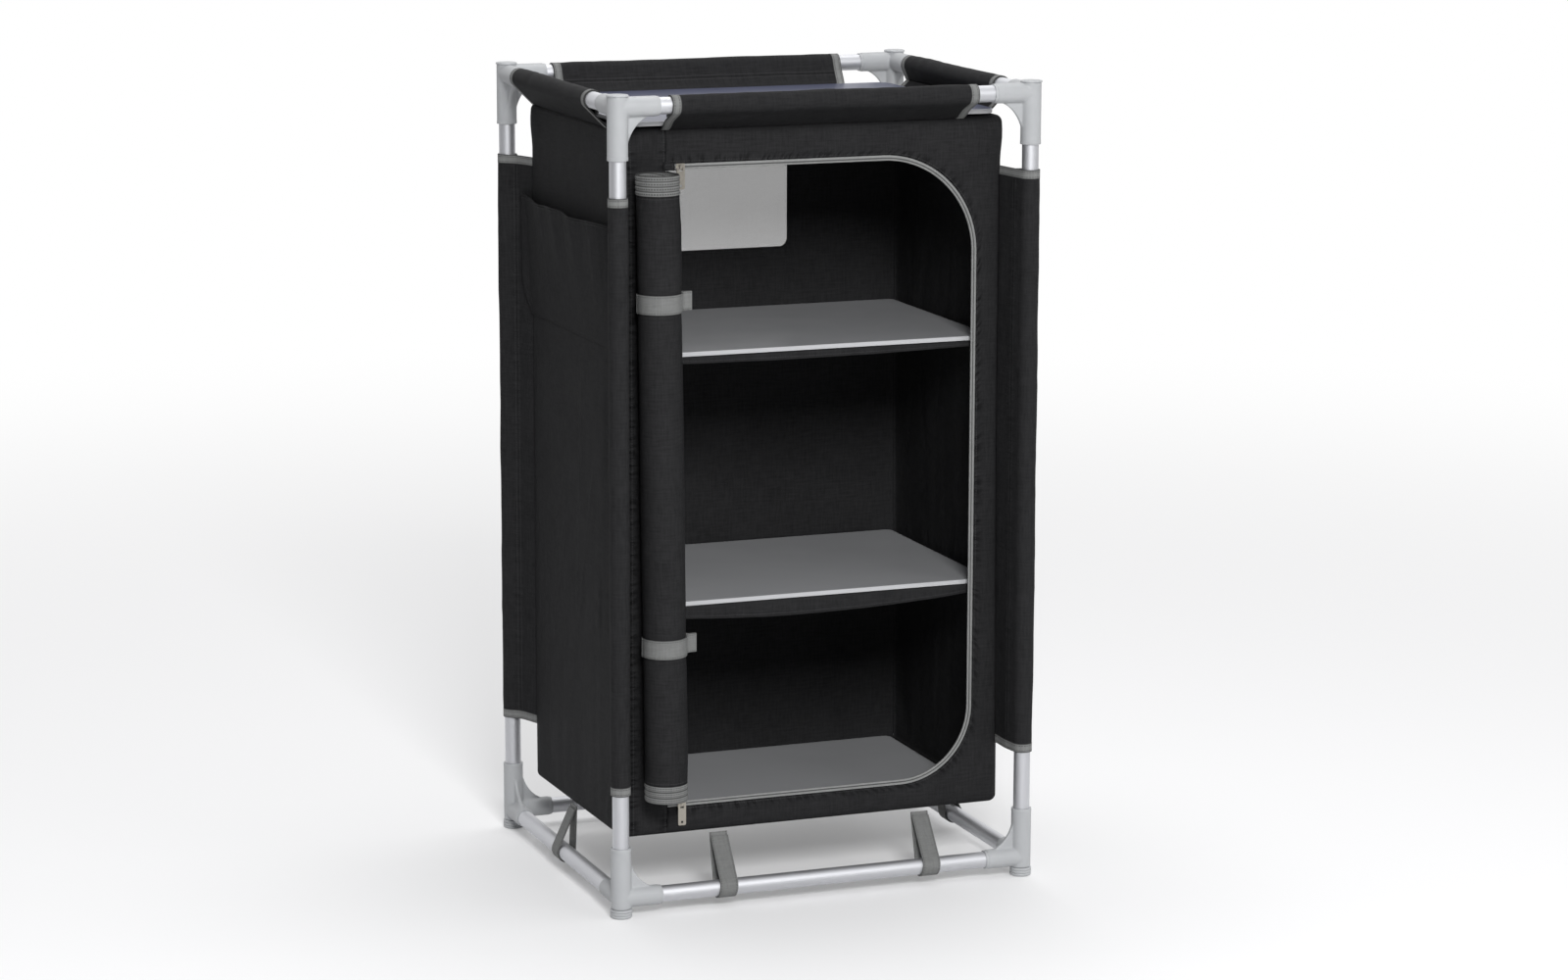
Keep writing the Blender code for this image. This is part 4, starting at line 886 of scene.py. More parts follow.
FLAP_SEAM, PLUMP_AT, PUCKERS_FROM = -0.254, (-0.236, 1.002), 0.975
near_edge = X_LOW + np.arange(0.0018, SOFT, 0.0018)
strip_x = np.concatenate([[X_LOW], near_edge, np.linspace(X_LOW + SOFT, DOOR_SEAM, 28)])
x, z = np.meshgrid(strip_x, rows_to_edge(Z_LOW, Z_HIGH, 0.007), indexing="ij")
to_flap, to_door = x - FLAP_SEAM, DOOR_SEAM - x
strip_points = upright_face(x, z, Y_LOW)
seam_ridge = 0.0007 * np.exp(-(to_flap / 0.0022) ** 2) + 0.0005 * np.exp(-(to_door / 0.003) ** 2)
end_gap = np.minimum(z - Z_LOW, Z_HIGH - z)
top_bulge = 0.004 * fade(np.hypot(x - PLUMP_AT[0], z - PLUMP_AT[1]), 0.030) * (1 - fade(end_gap, 0.012))
soft_strip = (1 - fade(end_gap, 0.02)) * 0.0005 * lumps(x, z, 0.03, 0.05, 53)
seam_pucker = 0.0008 * lumps(z, x, 0.0055, 0.012, 54) * fade(to_door, 0.022)
seam_pucker = seam_pucker * (1 - fade(to_door, 0.002)) * np.clip((z - PUCKERS_FROM) / 0.01, 0, 1)
strip_points[..., 1] -= seam_ridge + top_bulge + soft_strip + seam_pucker
strip_seam = np.stack([z, np.minimum(to_door, np.abs(to_flap))], -1)
strip = lay("front_strip", [patch(strip_points, np.stack([x, z], -1), strip_seam)], BLACK_EASED)
settle(thicken(strip, CLOTH), "cloth", "front_panel")

# %% [markdown]
# ## Window net
#
# The real net has holes of well under a millimetre. Its threads are drawn 1.2 mm apart, as coarse as the picture
# needs, and cover about two thirds of the window. Each thread is a thin straight bar, so hundreds of them cost little.

# %% Crossing threads
PITCH, THREAD_WIDE, THREAD_DEEP = 0.0012, 0.0005, 0.0003
NET_MARGIN = 0.0015
NET_ROUND = WINDOW_ROUND + NET_MARGIN
net_low, net_high = reach("vent_mesh")
net_y = (net_low[1] + net_high[1]) / 2
net_low[[0, 2]], net_high[[0, 2]] = WINDOW_LOW - NET_MARGIN, WINDOW_HIGH + NET_MARGIN


def bars(starts, ends, across, deep):
    """Straight bars: four corner lines each, from every start to every end, with closed ends."""
    offsets = np.array([(-1, -1), (1, -1), (1, 1), (-1, 1)]) / 2
    shift = offsets[:, :1] * across + offsets[:, 1:] * deep
    points = np.stack([starts[:, None] + shift, ends[:, None] + shift], 1).reshape(-1, 3)
    base = np.arange(len(starts))[:, None, None] * 8
    sides = np.array([(0, 1, 5, 4), (1, 2, 6, 5), (2, 3, 7, 6), (3, 0, 4, 7), (3, 2, 1, 0), (4, 5, 6, 7)])
    quads = (base + sides).reshape(-1, 4)
    weave = points[:, [0, 2]][quads].reshape(-1, 2)
    return {"points": points, "quads": quads, "weave": weave, "seam": np.ones_like(weave),
            "finish": np.zeros(len(quads), int)}


def threads(across, along, y):
    """Threads a pitch apart across one axis, which run along another. They stop at the rounded corners, which at d
    inside the curve is r - sqrt(r^2 - d^2) short of the straight edge."""
    places = np.arange(net_low[across] + PITCH, net_high[across], PITCH)
    inside = np.clip(NET_ROUND - np.minimum(places - net_low[across], net_high[across] - places), 0, NET_ROUND)
    short = NET_ROUND - np.sqrt(NET_ROUND ** 2 - inside ** 2)
    ends = np.full((2, len(places), 3), y)
    ends[..., across] = places
    ends[0, :, along], ends[1, :, along] = net_low[along] + short, net_high[along] - short
    return bars(*ends, THREAD_WIDE * np.eye(3)[across], np.array([0, THREAD_DEEP, 0]))


upright, lying = threads(0, 2, net_y - THREAD_DEEP / 2), threads(2, 0, net_y + THREAD_DEEP / 2)
net = lay("window_net", [upright, lying], NET)
face_outwards(net.data, weld=False)
net.data.shade_flat()
settle(net, "net", "vent_mesh")
print("net of", len(upright["quads"]) // 6, "by", len(lying["quads"]) // 6, "threads")

# %% Piping round the window
PIPING_WIDE, PIPING_DEEP, PIPING_OUT = 0.0016, 0.0008, 0.001
piping_loop = loop_of(WINDOW_LOW - PIPING_OUT, WINDOW_HIGH + PIPING_OUT, WINDOW_ROUND)
piping_line = np.vstack([run[:-1] for run in piping_loop])
step = np.roll(piping_line, -1, 0) - np.roll(piping_line, 1, 0)
sideways = np.stack([step[:, 1], -step[:, 0]], 1) / np.linalg.norm(step, axis=1, keepdims=True)
angle = np.linspace(0, math.tau, 12, endpoint=False)
ring = PIPING_WIDE * np.cos(angle)[None, :, None] * sideways[:, None]
piping_y = np.broadcast_to(net_y - PIPING_DEEP * np.sin(angle), ring.shape[:2])
piping_flat = piping_line[:, None] + ring
piping_points = np.stack([piping_flat[..., 0], piping_y, piping_flat[..., 1]], -1)
piping_points = np.concatenate([piping_points, piping_points[:1]])
round_window, round_piping = np.linspace(0, 0.66, len(piping_points)), np.linspace(0, 0.01, 13)
piping_map = np.stack(np.meshgrid(round_window, round_piping, indexing="ij"), -1)
piping = lay("window_piping", [patch(piping_points, piping_map, closed=True)], BLACK, weld=True)
settle(piping, "cloth", "rear_panel")

# %% [markdown]
# ## Hemmed sleeves
#
# The box hangs by hems: cloth goes from the box's edge to a tube, round it and back to itself. In section that is a
# drop shape: two straight legs that touch a circle. The section is carried along the tube and loosened by noise, and
# grey tape bound round both ends hides the raw edges. Where the real flap hangs off true, it is sheared along its
# tube.

# %% The section of a hem
HEM_RADIUS = TUBE_RADIUS + 0.0006 + CLOTH / 2
HEM_POINT = 0.022


def drop(axis, point, radius, thickness, turning, steps=40):
    """From a point to a circle about the axis, round it, and back to just short of the point. The free leg ends where
    cloth of the given thickness would touch the first leg."""
    axis, point = np.asarray(axis, float), np.asarray(point, float)
    gap = point - axis
    far = np.hypot(*gap)
    heading, spread = math.atan2(gap[1], gap[0]), math.acos(radius / far)
    angle = np.linspace(heading + turning * spread, heading - turning * spread + turning * math.tau, steps)
    ring = axis + radius * np.stack([np.cos(angle), np.sin(angle)], 1)
    between = math.pi - 2 * spread
    short = (FIT + thickness / 2 * (1 + math.cos(between))) / math.sin(between)
    back = (ring[-1] - point) / np.linalg.norm(ring[-1] - point)
    return np.vstack([point, ring, point + back * short])


def hem_section(axis, edge, turning, seat=None, centred=False):
    """A hem in section, from the box's edge. Pulled cloth lies in line with its flap: the hem's point is on the
    tangent from the edge to the circle. A centred hem has its point on the way from the edge to the axis instead.
    With seat, the run to the hem sags in a parabola through that point."""
    axis, edge = np.asarray(axis, float), np.asarray(edge, float)
    gap = edge - axis
    far = np.hypot(*gap)
    point = axis + gap / far * HEM_POINT
    if not centred:
        heading = math.atan2(gap[1], gap[0]) + turning * math.acos(HEM_RADIUS / far)
        touch = axis + HEM_RADIUS * np.array([math.cos(heading), math.sin(heading)])
        leg = math.sqrt(HEM_POINT ** 2 - HEM_RADIUS ** 2)
        point = touch + (edge - touch) / np.linalg.norm(edge - touch) * leg
    share = np.linspace(0, 1, 13)[:-1]
    run = edge + (point - edge) * share[:, None]
    if seat is not None:
        at = (seat[0] - edge[0]) / (point[0] - edge[0])
        chord = edge[1] + (point[1] - edge[1]) * at
        run[:, 1] -= (chord - seat[1]) * share * (1 - share) / (at * (1 - at))
    path = evenly(np.vstack([run, drop(axis, point, HEM_RADIUS, CLOTH + 0.0008, turning)]), 110)
    hem_at = lengths(run)[-1] + 0.0035
    near = fade(np.abs(lengths(path) - hem_at), 0.016)[1:-1, None]
    for _ in range(25):
        path[1:-1] += near * ((path[:-2] + path[2:]) / 2 - path[1:-1])
    return path, hem_at


PLACES = {
    "plan": lambda a, b, h: np.stack([a, b, h], -1),
    "side": lambda a, b, h: np.stack([h, a, b], -1),
    "front": lambda a, b, h: np.stack([a, h, b], -1),
}


def loosened(section, axis, heights, ease, seed):
    """The section carried over heights and moved outwards by noise, which dies out at both ends."""
    run = lengths(section)
    step = np.gradient(section, axis=0)
    normal = np.stack([step[:, 1], -step[:, 0]], 1) / np.linalg.norm(step, axis=1, keepdims=True)
    outward = np.sign(np.sum(normal * (section - axis), axis=1).mean())
    grid_h, grid_s = np.meshgrid(heights, run, indexing="ij")
    ends = np.minimum(grid_h - heights[0], heights[-1] - grid_h)
    start = np.minimum(grid_s, 1)
    calm = (1 - fade(ends, 0.035)) * (1 - fade(start, 0.012)) * (1 - fade(run[-1] - grid_s, 0.01))
    puff = 0.5 + 0.5 * lumps(grid_h, grid_s, 0.055, 0.03, seed) + 0.25 * lumps(grid_h, grid_s, 0.016, 0.02, seed + 1)
    move = ease * calm * np.clip(puff, 0, 1.2)
    flat = section[None] + outward * normal[None] * move[..., None]
    return flat, grid_h, grid_s


TAPE_OUT, TAPE_IN = 0.0005, 0.0115
SLEEVE_STEP, SLEEVE_EASE = 0.005, 0.0011
TUBE_OF = {f"rail_sleeve_{s}": f"top_rail_{s}" for s in ("front", "rear", "left", "right")}
TUBE_OF |= {f"post_sleeve_{p}": f"post_{p}" for p in SIDES}


def sleeve(node, section, hem_at, axis, low, high, place, seed, shear=0.0, spread=0):
    """A sleeve and its two bindings. shear moves the flap along the rail at the box's edge, less towards the hem, and
    spread makes the flap's root follow the box's flare."""
    section, axis = evenly(section, 70), np.asarray(axis, float)

    def put(flat, h, s):
        """The sheared heights, and the points there."""
        root = fade(s, hem_at)
        h = h + shear * root
        points = PLACES[place](flat[..., 0], flat[..., 1], h)
        points[..., 0] += spread * flare(points[..., 2]) * root
        return h, points

    heights = np.linspace(low, high, round((high - low) / SLEEVE_STEP))
    flat, h, s = loosened(section, axis, heights, SLEEVE_EASE, seed)
    h, points = put(flat, h, s)
    surface = patch(points, np.stack([h, s], -1), np.stack([h, np.abs(s - hem_at)], -1))
    cloth = thicken(lay(node + "_hem", [surface], BLACK), CLOTH)
    settle(cloth, "cloth", node)
    tapes = []
    for start, end in ((low - TAPE_OUT, low + TAPE_IN), (high - TAPE_IN, high + TAPE_OUT)):
        h, s = np.meshgrid(np.linspace(start, end, 6), lengths(section), indexing="ij")
        edge_gap = np.minimum(h - start, end - h)
        h, points = put(np.broadcast_to(section, (*h.shape, 2)), h, s)
        tapes.append(patch(points, np.stack([s, h], -1), np.stack([s, edge_gap], -1)))
    tape = thicken(lay(node + "_binding", tapes, BINDING), CLOTH + 0.0008)
    settle(tape, "webbing", node)
    return cloth, tape


print("sleeves:", len(TUBE_OF))

# %% Rail sleeves
EDGE_Y, EDGE_X, EDGE_Z = BOX_Y - EDGE_PULL, BOX_X - EDGE_PULL, BOX_TOP - EDGE_PULL
SEAT = (reach("worktop_board")[1][1], reach("worktop_board")[0][2] - FIT - CLOTH / 2)
LONG_ENDS = {"front": (-1, -0.2155, 0.2075, 0.006), "rear": (1, -0.2220, 0.1990, -0.005)}
for side, (sign, low, high, shear) in LONG_ENDS.items():
    axis = (sign * POST_Y, RAIL_TOP)
    section, hem_at = hem_section(axis, (sign * EDGE_Y, EDGE_Z), -1, (sign * SEAT[0], SEAT[1]), centred=sign > 0)
    sleeve(f"rail_sleeve_{side}", section, hem_at, axis, low, high, "side", 61 + sign, shear)
for side, sign in (("left", -1), ("right", 1)):
    node_low, node_high = reach(f"rail_sleeve_{side}")
    axis = (sign * POST_X, RAIL_TOP)
    section, hem_at = hem_section(axis, (sign * EDGE_X, EDGE_Z), sign)
    sleeve(f"rail_sleeve_{side}", section, hem_at, axis, node_low[1], node_high[1], "front", 65 + sign)
print("rail sleeves seat the worktop at", np.round(SEAT, 4))

# %% Post sleeves
POST_ENDS = {"front_left": (0.166, 0.948), "front_right": (0.174, 0.962), "rear_left": (0.162, 0.954),
             "rear_right": (0.167, 0.953)}
for k, (place, (sx, sy)) in enumerate(SIDES.items()):
    low, high = POST_ENDS[place]
    axis = (sx * POST_X, sy * POST_Y)
    section, hem_at = hem_section(axis, (sx * EDGE_X, sy * EDGE_Y), -sy, centred=place == "rear_left")
    sleeve(f"post_sleeve_{place}", section, hem_at, axis, low, high, "plan", 70 + 3 * k, spread=max(sx, 0))
print(len(POST_ENDS), "post sleeves")

# %% [markdown]
# ## Boards
#
# Worktop, shelves and floor board are pressed board with a pale edge band. A board is its outline carried over a
# profile of insets and heights, which eases both edges, with the band's finish on the side rows.

# %% Four boards
BOARD_EASE, BOARD_RIM = 0.0009, 0.006
QUARTERS = np.array([(1, 1), (-1, 1), (-1, -1), (1, -1)])


def board(node, radius, face):
    """A board: rounded outline, drawn in by each profile step's inset and raised to its height, closed to a spine."""
    low, high = reach(node)
    thick = high[2] - low[2]
    angle = np.linspace(0, math.pi / 2, 7)
    lower = BOARD_EASE * np.stack([1 - np.sin(angle), 1 - np.cos(angle)], 1)
    upper = np.stack([lower[::-1, 0], thick - lower[::-1, 1]], 1)
    profile = np.vstack([[(BOARD_RIM, 0)], lower, upper, [(BOARD_RIM, thick)]])
    turns = np.radians(np.linspace(0, 90, 9)) + np.arange(4)[:, None] * math.pi / 2
    way = np.stack([np.cos(turns), np.sin(turns)], -1)
    centres = np.where(QUARTERS > 0, high[:2], low[:2]) - QUARTERS * radius

    def outline(inset):
        """The four round corners, as one closed line."""
        return (centres[:, None] + (radius - inset) * way).reshape(-1, 2)

    count = turns.size
    rings = np.array([np.column_stack([outline(inset), np.full(count, low[2] + height)])
                      for inset, height in profile])
    weave = np.concatenate([rings, rings[:, :1]], 1)[..., :2]
    rows = np.arange(len(profile) - 1)[:, None]
    band = np.where((rows > 0) & (rows < len(profile) - 2), 1, 0)
    surfaces = [patch(rings, weave, closed=True, finish=band)]
    for ring, flip in ((rings[0], True), (rings[-1], False)):
        spine_x = np.clip(ring[:, 0], low[0] + 0.02, high[0] - 0.02)
        spine = np.column_stack([spine_x, np.full(count, (low[1] + high[1]) / 2), ring[:, 2]])
        grid = ring + (spine - ring) * np.linspace(0, 1, 3)[:, None, None]
        flat = np.concatenate([grid, grid[:, :1]], 1)[..., :2]
        surfaces.append(patch(grid, flat, closed=True, flip=flip))
    piece = lay(node.replace("_board", "") + "_panel_board", surfaces, face, BOARD_EDGE, weld=True)
    return settle(crisp(piece, 40), "board", node, body=node)


boards = [board("worktop_board", 0.018, WORKTOP_PAINTED_REFLECTION)]
boards += [board(f"{name}_board", 0.010, BOARD) for name in ("upper_shelf", "lower_shelf", "floor")]
print([b.name for b in boards])

# %% [markdown]
# ## Slings
#
# Under each shelf board lies a cloth sling sewn to the side walls. Its front lip hangs over the edge in a shallow
# curve and ends in a narrow hem.

# %% A rolled hem along a line
def rolled_hem(name, line, radius, *nodes):
    """A thin tube of cloth along a line: circles that stand square to x or y, whichever the line crosses more."""
    angle = np.linspace(0, math.tau, 12, endpoint=False)
    run = lengths(line)
    lengthwise = int(abs(np.ptp(line[:, 1])) > abs(np.ptp(line[:, 0])))
    side = np.eye(3)[1 - lengthwise]
    ring = radius * (np.cos(angle)[:, None] * side + np.sin(angle)[:, None] * np.array([0, 0, 1.0]))
    ring_map = np.stack(np.broadcast_arrays(run[:, None], np.linspace(0, math.tau * radius, 13)[None]), -1)
    made = lay(name, [patch(line[:, None] + ring[None], ring_map, closed=True)], BLACK)
    return settle(made, "cloth", *nodes)


# %% Two slings with sagging lips
SLING_BEND = 0.002


def sling(node, board_node, lip_side, lip_middle, seed):
    """A sling: flat under the board, a small round bend at the front, then a lip that is longest in the middle."""
    low, high = reach(node)
    level = reach(board_node)[0][2] - FIT - CLOTH / 2 - 0.0002
    front, rear, half = low[1] + CLOTH / 2, high[1], high[0]
    x = np.linspace(-half, half, 90)
    lip = lip_side + (lip_middle - lip_side) * (1 - (x / half) ** 2)
    flat_run = np.linspace(rear, front + SLING_BEND, 30)
    angle = np.linspace(0, math.pi / 2, 5)[1:]
    down = np.linspace(0, 1, 9)[1:]
    y = np.concatenate([flat_run, front + SLING_BEND * (1 - np.sin(angle)), np.full(len(down), front)])
    fall = SLING_BEND * np.concatenate([0 * flat_run, 1 - np.cos(angle), np.ones(len(down))])
    extra = np.concatenate([0 * flat_run, 0 * angle, down])[:, None]
    points = np.empty((len(y), len(x), 3))
    points[..., 0] = x
    points[..., 1] = y[:, None] - 0.0015 * extra * (1 + lumps(x, x * 0, 0.05, 1, seed))
    points[..., 2] = level - fall[:, None] - extra * (lip - SLING_BEND)
    across = lengths(np.stack([y, fall], 1))[:, None] + extra * lip
    weave = np.stack([np.broadcast_to(x, across.shape), across], -1)
    seam = np.stack([weave[..., 0], np.maximum(across[-1] - across, 0)], -1)
    piece = thicken(lay(node + "_cloth", [patch(points, weave, seam, flip=True)], BLACK), CLOTH)
    settle(piece, "cloth", node)
    hem = rolled_hem(node + "_hem", points[-1], 0.0011, node)
    return piece


slings = [sling("upper_shelf_sling", "upper_shelf_board", 0.0045, 0.009, 81),
          sling("lower_shelf_sling", "lower_shelf_board", 0.0065, 0.0215, 83)]
print([s.name for s in slings])

# %% [markdown]
# ## Side pocket
#
# A pouch sewn flat along its bottom and ends. It stands off the wall more the higher it gets, by a rounded sine across
# its width, and elastic in its hem gathers it into upright folds.

# %% The pouch and its hem
def pocket():
    """The pouch over two shares: along from its rear end to its front one, and up from its bottom seam."""
    low, high = reach("side_pocket")
    along, up = np.meshgrid(np.linspace(0, 1, 150), np.linspace(0, 1, 40), indexing="ij")
    lift = np.clip(up / 0.35, 0, 1)
    rear = (BOX_Y - 0.002) + 0.019 * lift * (2 - lift)
    front = -BOX_Y + 0.005
    y = rear + (front - rear) * along
    past = np.maximum(y - BOX_Y, 0)
    clear = past * (POST_X - BOX_X) / (POST_Y - BOX_Y) + 2 * (CLOTH / 2 + FIT) * np.clip(past / 0.017, 0, 1)
    arch = np.sin(math.pi * along)
    stand_off = 0.020 * up ** 1.2 * arch ** 0.6
    fold = 0.002 * up * arch * np.sin(math.tau * 5 * along)
    gather = 0.0008 * up ** 2 * np.sqrt(arch) * lumps(y, up * 0.1, 0.009, 0.2, 91)
    x = -(BOX_X + FIT + CLOTH / 2) - clear - np.maximum(stand_off + fold + gather, 0)
    z = low[2] + (high[2] - low[2]) * up + 0.002 * up * arch * np.sin(math.tau * 2.3 * along + 1)
    points = np.stack([x, y, z], -1)
    run = np.array([lengths(points[k])[-1] for k in (0, 75, 149)]).mean()
    top = lengths(points[:, -1])[-1]
    weave = np.stack([along * top, up * run], -1)
    seam = np.stack([along * top, (1 - up) * run], -1)
    piece = thicken(lay("side_pocket_pouch", [patch(points, weave, seam)], BLACK), CLOTH)
    settle(piece, "cloth", "side_pocket")
    hem = rolled_hem("side_pocket_elastic", points[:, -1], 0.0013, "side_pocket")
    return piece, hem


pouch, elastic = pocket()
print(pouch.name, elastic.name)

# %% [markdown]
# ## Zip
#
# The zip goes round the opening on grey tape with a coil along its inner edge. Its cross section is carried along the
# door line: each of the section's points is the door line moved inwards by its own amount, so the width stays true
# round the corners.

# %% Tape and coil
ZIP_SECTION = np.array([
    (0.0000, -0.0010), (0.0000, 0.0003), (0.0003, 0.0007), (0.0030, 0.0008), (0.0036, 0.0003), (0.0042, 0.0006),
    (0.0047, 0.0014), (0.0055, 0.0018), (0.0063, 0.0015), (0.0069, 0.0008), (0.0070, 0.0000), (0.0070, -0.0010)])
insets, heights = ZIP_SECTION.T
zip_lines = np.array([matched(door_line(inset - ZIP_WIDTH / 2), (180, 300, 180)) for inset in insets])
zip_lines[:, [0, -1], 0] += FIT
zip_y = np.broadcast_to(-BOX_Y - heights[:, None], zip_lines.shape[:2])
zip_points = np.stack([zip_lines[..., 0], zip_y, zip_lines[..., 1]], -1).swapaxes(0, 1)
run = lengths(zip_lines[0])
zip_map = np.stack(np.meshgrid(run, np.append(insets, 0), indexing="ij"), -1)
# The seam map's distance is measured from the coil's edge, so the zip finish's painted shade lies in the gap between
# coil and tape.
zip_seam = np.stack(np.meshgrid(run, np.append(np.abs(insets - 0.0038), 0.001), indexing="ij"), -1)
zip_tape = lay("zip_tape_and_coil", [patch(zip_points, zip_map, zip_seam, closed=True, flip=True)], ZIP)
settle(zip_tape, "zip_tape", "zip_tape")
print("zip of", round(run[-1], 3), "m")

# %% A cloth tab over the zip's upper start
tab_low = (DOOR_SEAM - 0.004, ZIP_TOP - 0.0043)
tab_high = (reach("top_zip_slider")[0][0] - 0.0022, ZIP_TOP + 0.0060)
x, z = np.meshgrid(np.linspace(tab_low[0], tab_high[0], 16), np.linspace(tab_low[1], tab_high[1], 12), indexing="ij")
tab_edge = edge_distance(x, z, tab_low[0], tab_high[0], tab_low[1], tab_high[1])
over_tape = fade(np.abs(z - ZIP_TOP), 0.0075) * np.clip((x - DOOR_SEAM) / 0.003 + 1, 0, 1)
tab_y = -BOX_Y - CLOTH / 2 - FIT - 0.0021 * over_tape
tab = lay("zip_start_tab", [patch(np.stack([x, tab_y, z], -1), np.stack([x, z], -1), tab_edge)], BLACK)
settle(thicken(tab, CLOTH), "cloth", "front_panel")
print("tab of", np.round(np.subtract(tab_high, tab_low), 4))

# %% [markdown]
# ## Rolled door
#
# The door is one sheet of cloth. It leaves its seam, goes straight to the roll and winds inwards at a steady pitch, so
# its distance from the centre falls in step with the angle. Ridged grey tape edges its top and bottom. The roll leans
# a little, which is a sideways shift that grows with height.

# %% The spiral
ROLL_RADIUS, ROLL_PITCH, ROLL_CLOTH = 0.029, 0.003, 0.0012
WEB_THICK = 0.0018
ROLL_X = DOOR_SEAM - 0.0185
ROLL_Y = -BOX_Y - 0.0012 - WEB_THICK - FIT - ROLL_RADIUS
ROLL_LEAN = 0.005
DOOR_TOP = ZIP_TOP - ZIP_WIDTH / 2 - 0.0015
DOOR_BOTTOM = ZIP_BOTTOM + ZIP_WIDTH / 2 + 0.0135
SEAM_AT = np.array([DOOR_SEAM + FIT + ROLL_CLOTH / 2 - ROLL_X, -BOX_Y - ROLL_Y])
TOUCH = math.atan2(SEAM_AT[1], SEAM_AT[0]) - math.acos((ROLL_RADIUS - ROLL_CLOTH / 2) / np.hypot(*SEAM_AT))
STRAP_LEVELS = {"upper": middle("upper_roll_strap")[2], "lower": middle("lower_roll_strap")[2]}


def lean(z):
    """Sideways shift of the roll: 5 mm to the left at its top and 5 mm to the right at its bottom."""
    return ROLL_LEAN - 2 * ROLL_LEAN * (z - DOOR_BOTTOM) / (DOOR_TOP - DOOR_BOTTOM)


def spiral():
    """The door in plan seen from the roll's centre, with the flat distance from the seam at each point."""
    radius = ROLL_RADIUS - ROLL_CLOTH / 2
    straight = math.sqrt(SEAM_AT @ SEAM_AT - radius ** 2)
    flat_width = ZIP_RIGHT - ZIP_WIDTH / 2 - DOOR_SEAM
    turns = (radius - math.sqrt(radius ** 2 - ROLL_PITCH * (flat_width - straight) / math.pi)) / ROLL_PITCH
    t = np.linspace(0, turns, 150)
    far, angle = radius - ROLL_PITCH * t, TOUCH - math.tau * t
    wound = far[:, None] * np.stack([np.cos(angle), np.sin(angle)], 1)
    lead = SEAM_AT + (wound[0] - SEAM_AT) * np.linspace(0, 1, 6)[:-1, None]
    distance = straight + math.tau * (radius * t - ROLL_PITCH * t ** 2 / 2)
    return np.vstack([lead, wound]), np.append(straight * np.linspace(0, 1, 6)[:-1], distance), flat_width


door_path, door_run, door_width = spiral()
BAND_TOP, BAND_LOW = 0.026, 0.024
RIDGES_TOP, RIDGES_LOW = 4, 3
ends_top, ends_low = np.linspace(0, BAND_TOP, 41), np.linspace(0, BAND_LOW, 37)


def corner_drop(radius):
    """How much the door's rounded free end takes off its height at each distance from the seam."""
    inside = np.clip(radius - (door_width - door_run), 0, radius)
    return (radius - np.sqrt(radius ** 2 - inside ** 2))[:, None]


def ribbed(to_end, wide, ridges):
    """A taped band's ridges, from 0 to 1 along a sine, and the distance from the nearest groove between them."""
    pitch = wide / ridges
    ridge = np.abs(np.sin(math.pi * ridges * np.clip(to_end / wide, 0, 1)))
    return ridge, np.abs((to_end / pitch + 0.5) % 1 - 0.5) * pitch


edge_top, edge_low = DOOR_TOP - corner_drop(ZIP_TOP_RADIUS), DOOR_BOTTOM + corner_drop(ZIP_BOTTOM_RADIUS)
between = edge_low + BAND_LOW + (edge_top - BAND_TOP - edge_low - BAND_LOW) * np.linspace(0, 1, 96)[1:-1]
door_z = np.hstack([edge_low + ends_low, between, edge_top - ends_top[::-1]])
to_top, to_low = edge_top - door_z, door_z - edge_low
ridge_top, groove_top = ribbed(to_top, BAND_TOP, RIDGES_TOP)
ridge_low, groove_low = ribbed(to_low, BAND_LOW, RIDGES_LOW)
first_turn = (fade(np.maximum(door_run - 0.19, 0), 0.02) * np.clip((door_run - 0.02) / 0.02, 0, 1))[:, None]
ridges = 0.0010 * np.maximum(ridge_top, ridge_low) * first_turn
strap_near = sum(fade(np.abs(door_z - z), 0.035) for z in STRAP_LEVELS.values())
angle_at = np.arctan2(door_path[:, 1], door_path[:, 0])[:, None]
facing = np.clip(0.6 - np.sin(angle_at), 0, 1) * first_turn
free = np.clip(1 - strap_near, 0, 1) * np.clip(to_top / 0.04 - 0.6, 0, 1) * np.clip(to_low / 0.04 - 0.6, 0, 1)
swell = 0.0016 * facing * free * (0.7 + 0.6 * lumps(angle_at * 0.03 + 0 * door_z, door_z, 0.03, 0.11, 101))
outward = door_path / np.linalg.norm(door_path, axis=1, keepdims=True)
plan = door_path[:, None] + outward[:, None] * (ridges + swell)[..., None]
weight = np.clip(door_run / 0.02, 0, 1)[:, None]
door_points = np.stack([plan[..., 0] + ROLL_X + lean(door_z) * weight, plan[..., 1] + ROLL_Y, door_z], -1)
tape_rows = (to_top < BAND_TOP - 1e-6) | (to_low < BAND_LOW - 1e-6)
taped = (tape_rows[:-1, :-1] & tape_rows[:-1, 1:]).astype(int)
groove = np.where(to_top < to_low, groove_top, groove_low)
# On the taped bands the seam map holds the distance from the nearest groove, so the binding's painted shade lies in
# the grooves.
from_seam = np.where(tape_rows, groove, np.minimum(to_top - BAND_TOP, to_low - BAND_LOW))
along = np.broadcast_to(door_run[:, None], door_z.shape)
surface = patch(door_points, np.stack([along, door_z], -1), np.stack([along, from_seam], -1), finish=taped)
door = lay("rolled_door", [surface], BLACK, BINDING)
settle(thicken(door, ROLL_CLOTH), "cloth", "door_roll", body="door_roll")

# %% [markdown]
# ## Straps
#
# Two webbing straps hold the roll and six tie the box to the bottom rails. Webbing is stiff and keeps its width, so
# each strap is a path with a thickness and eased edges, and takes no noise.

# %% A strap along a path
def smooth_path(points, count, rounds=3):
    """A path with its bends eased: corners are cut a few times, then the points are spread evenly."""
    path = np.asarray(points, float)
    for _ in range(rounds):
        near, far = path[:-1] * 0.75 + path[1:] * 0.25, path[:-1] * 0.25 + path[1:] * 0.75
        path = np.vstack([path[:1], np.stack([near, far], 1).reshape(-1, 2), path[-1:]])
    return evenly(path, count)


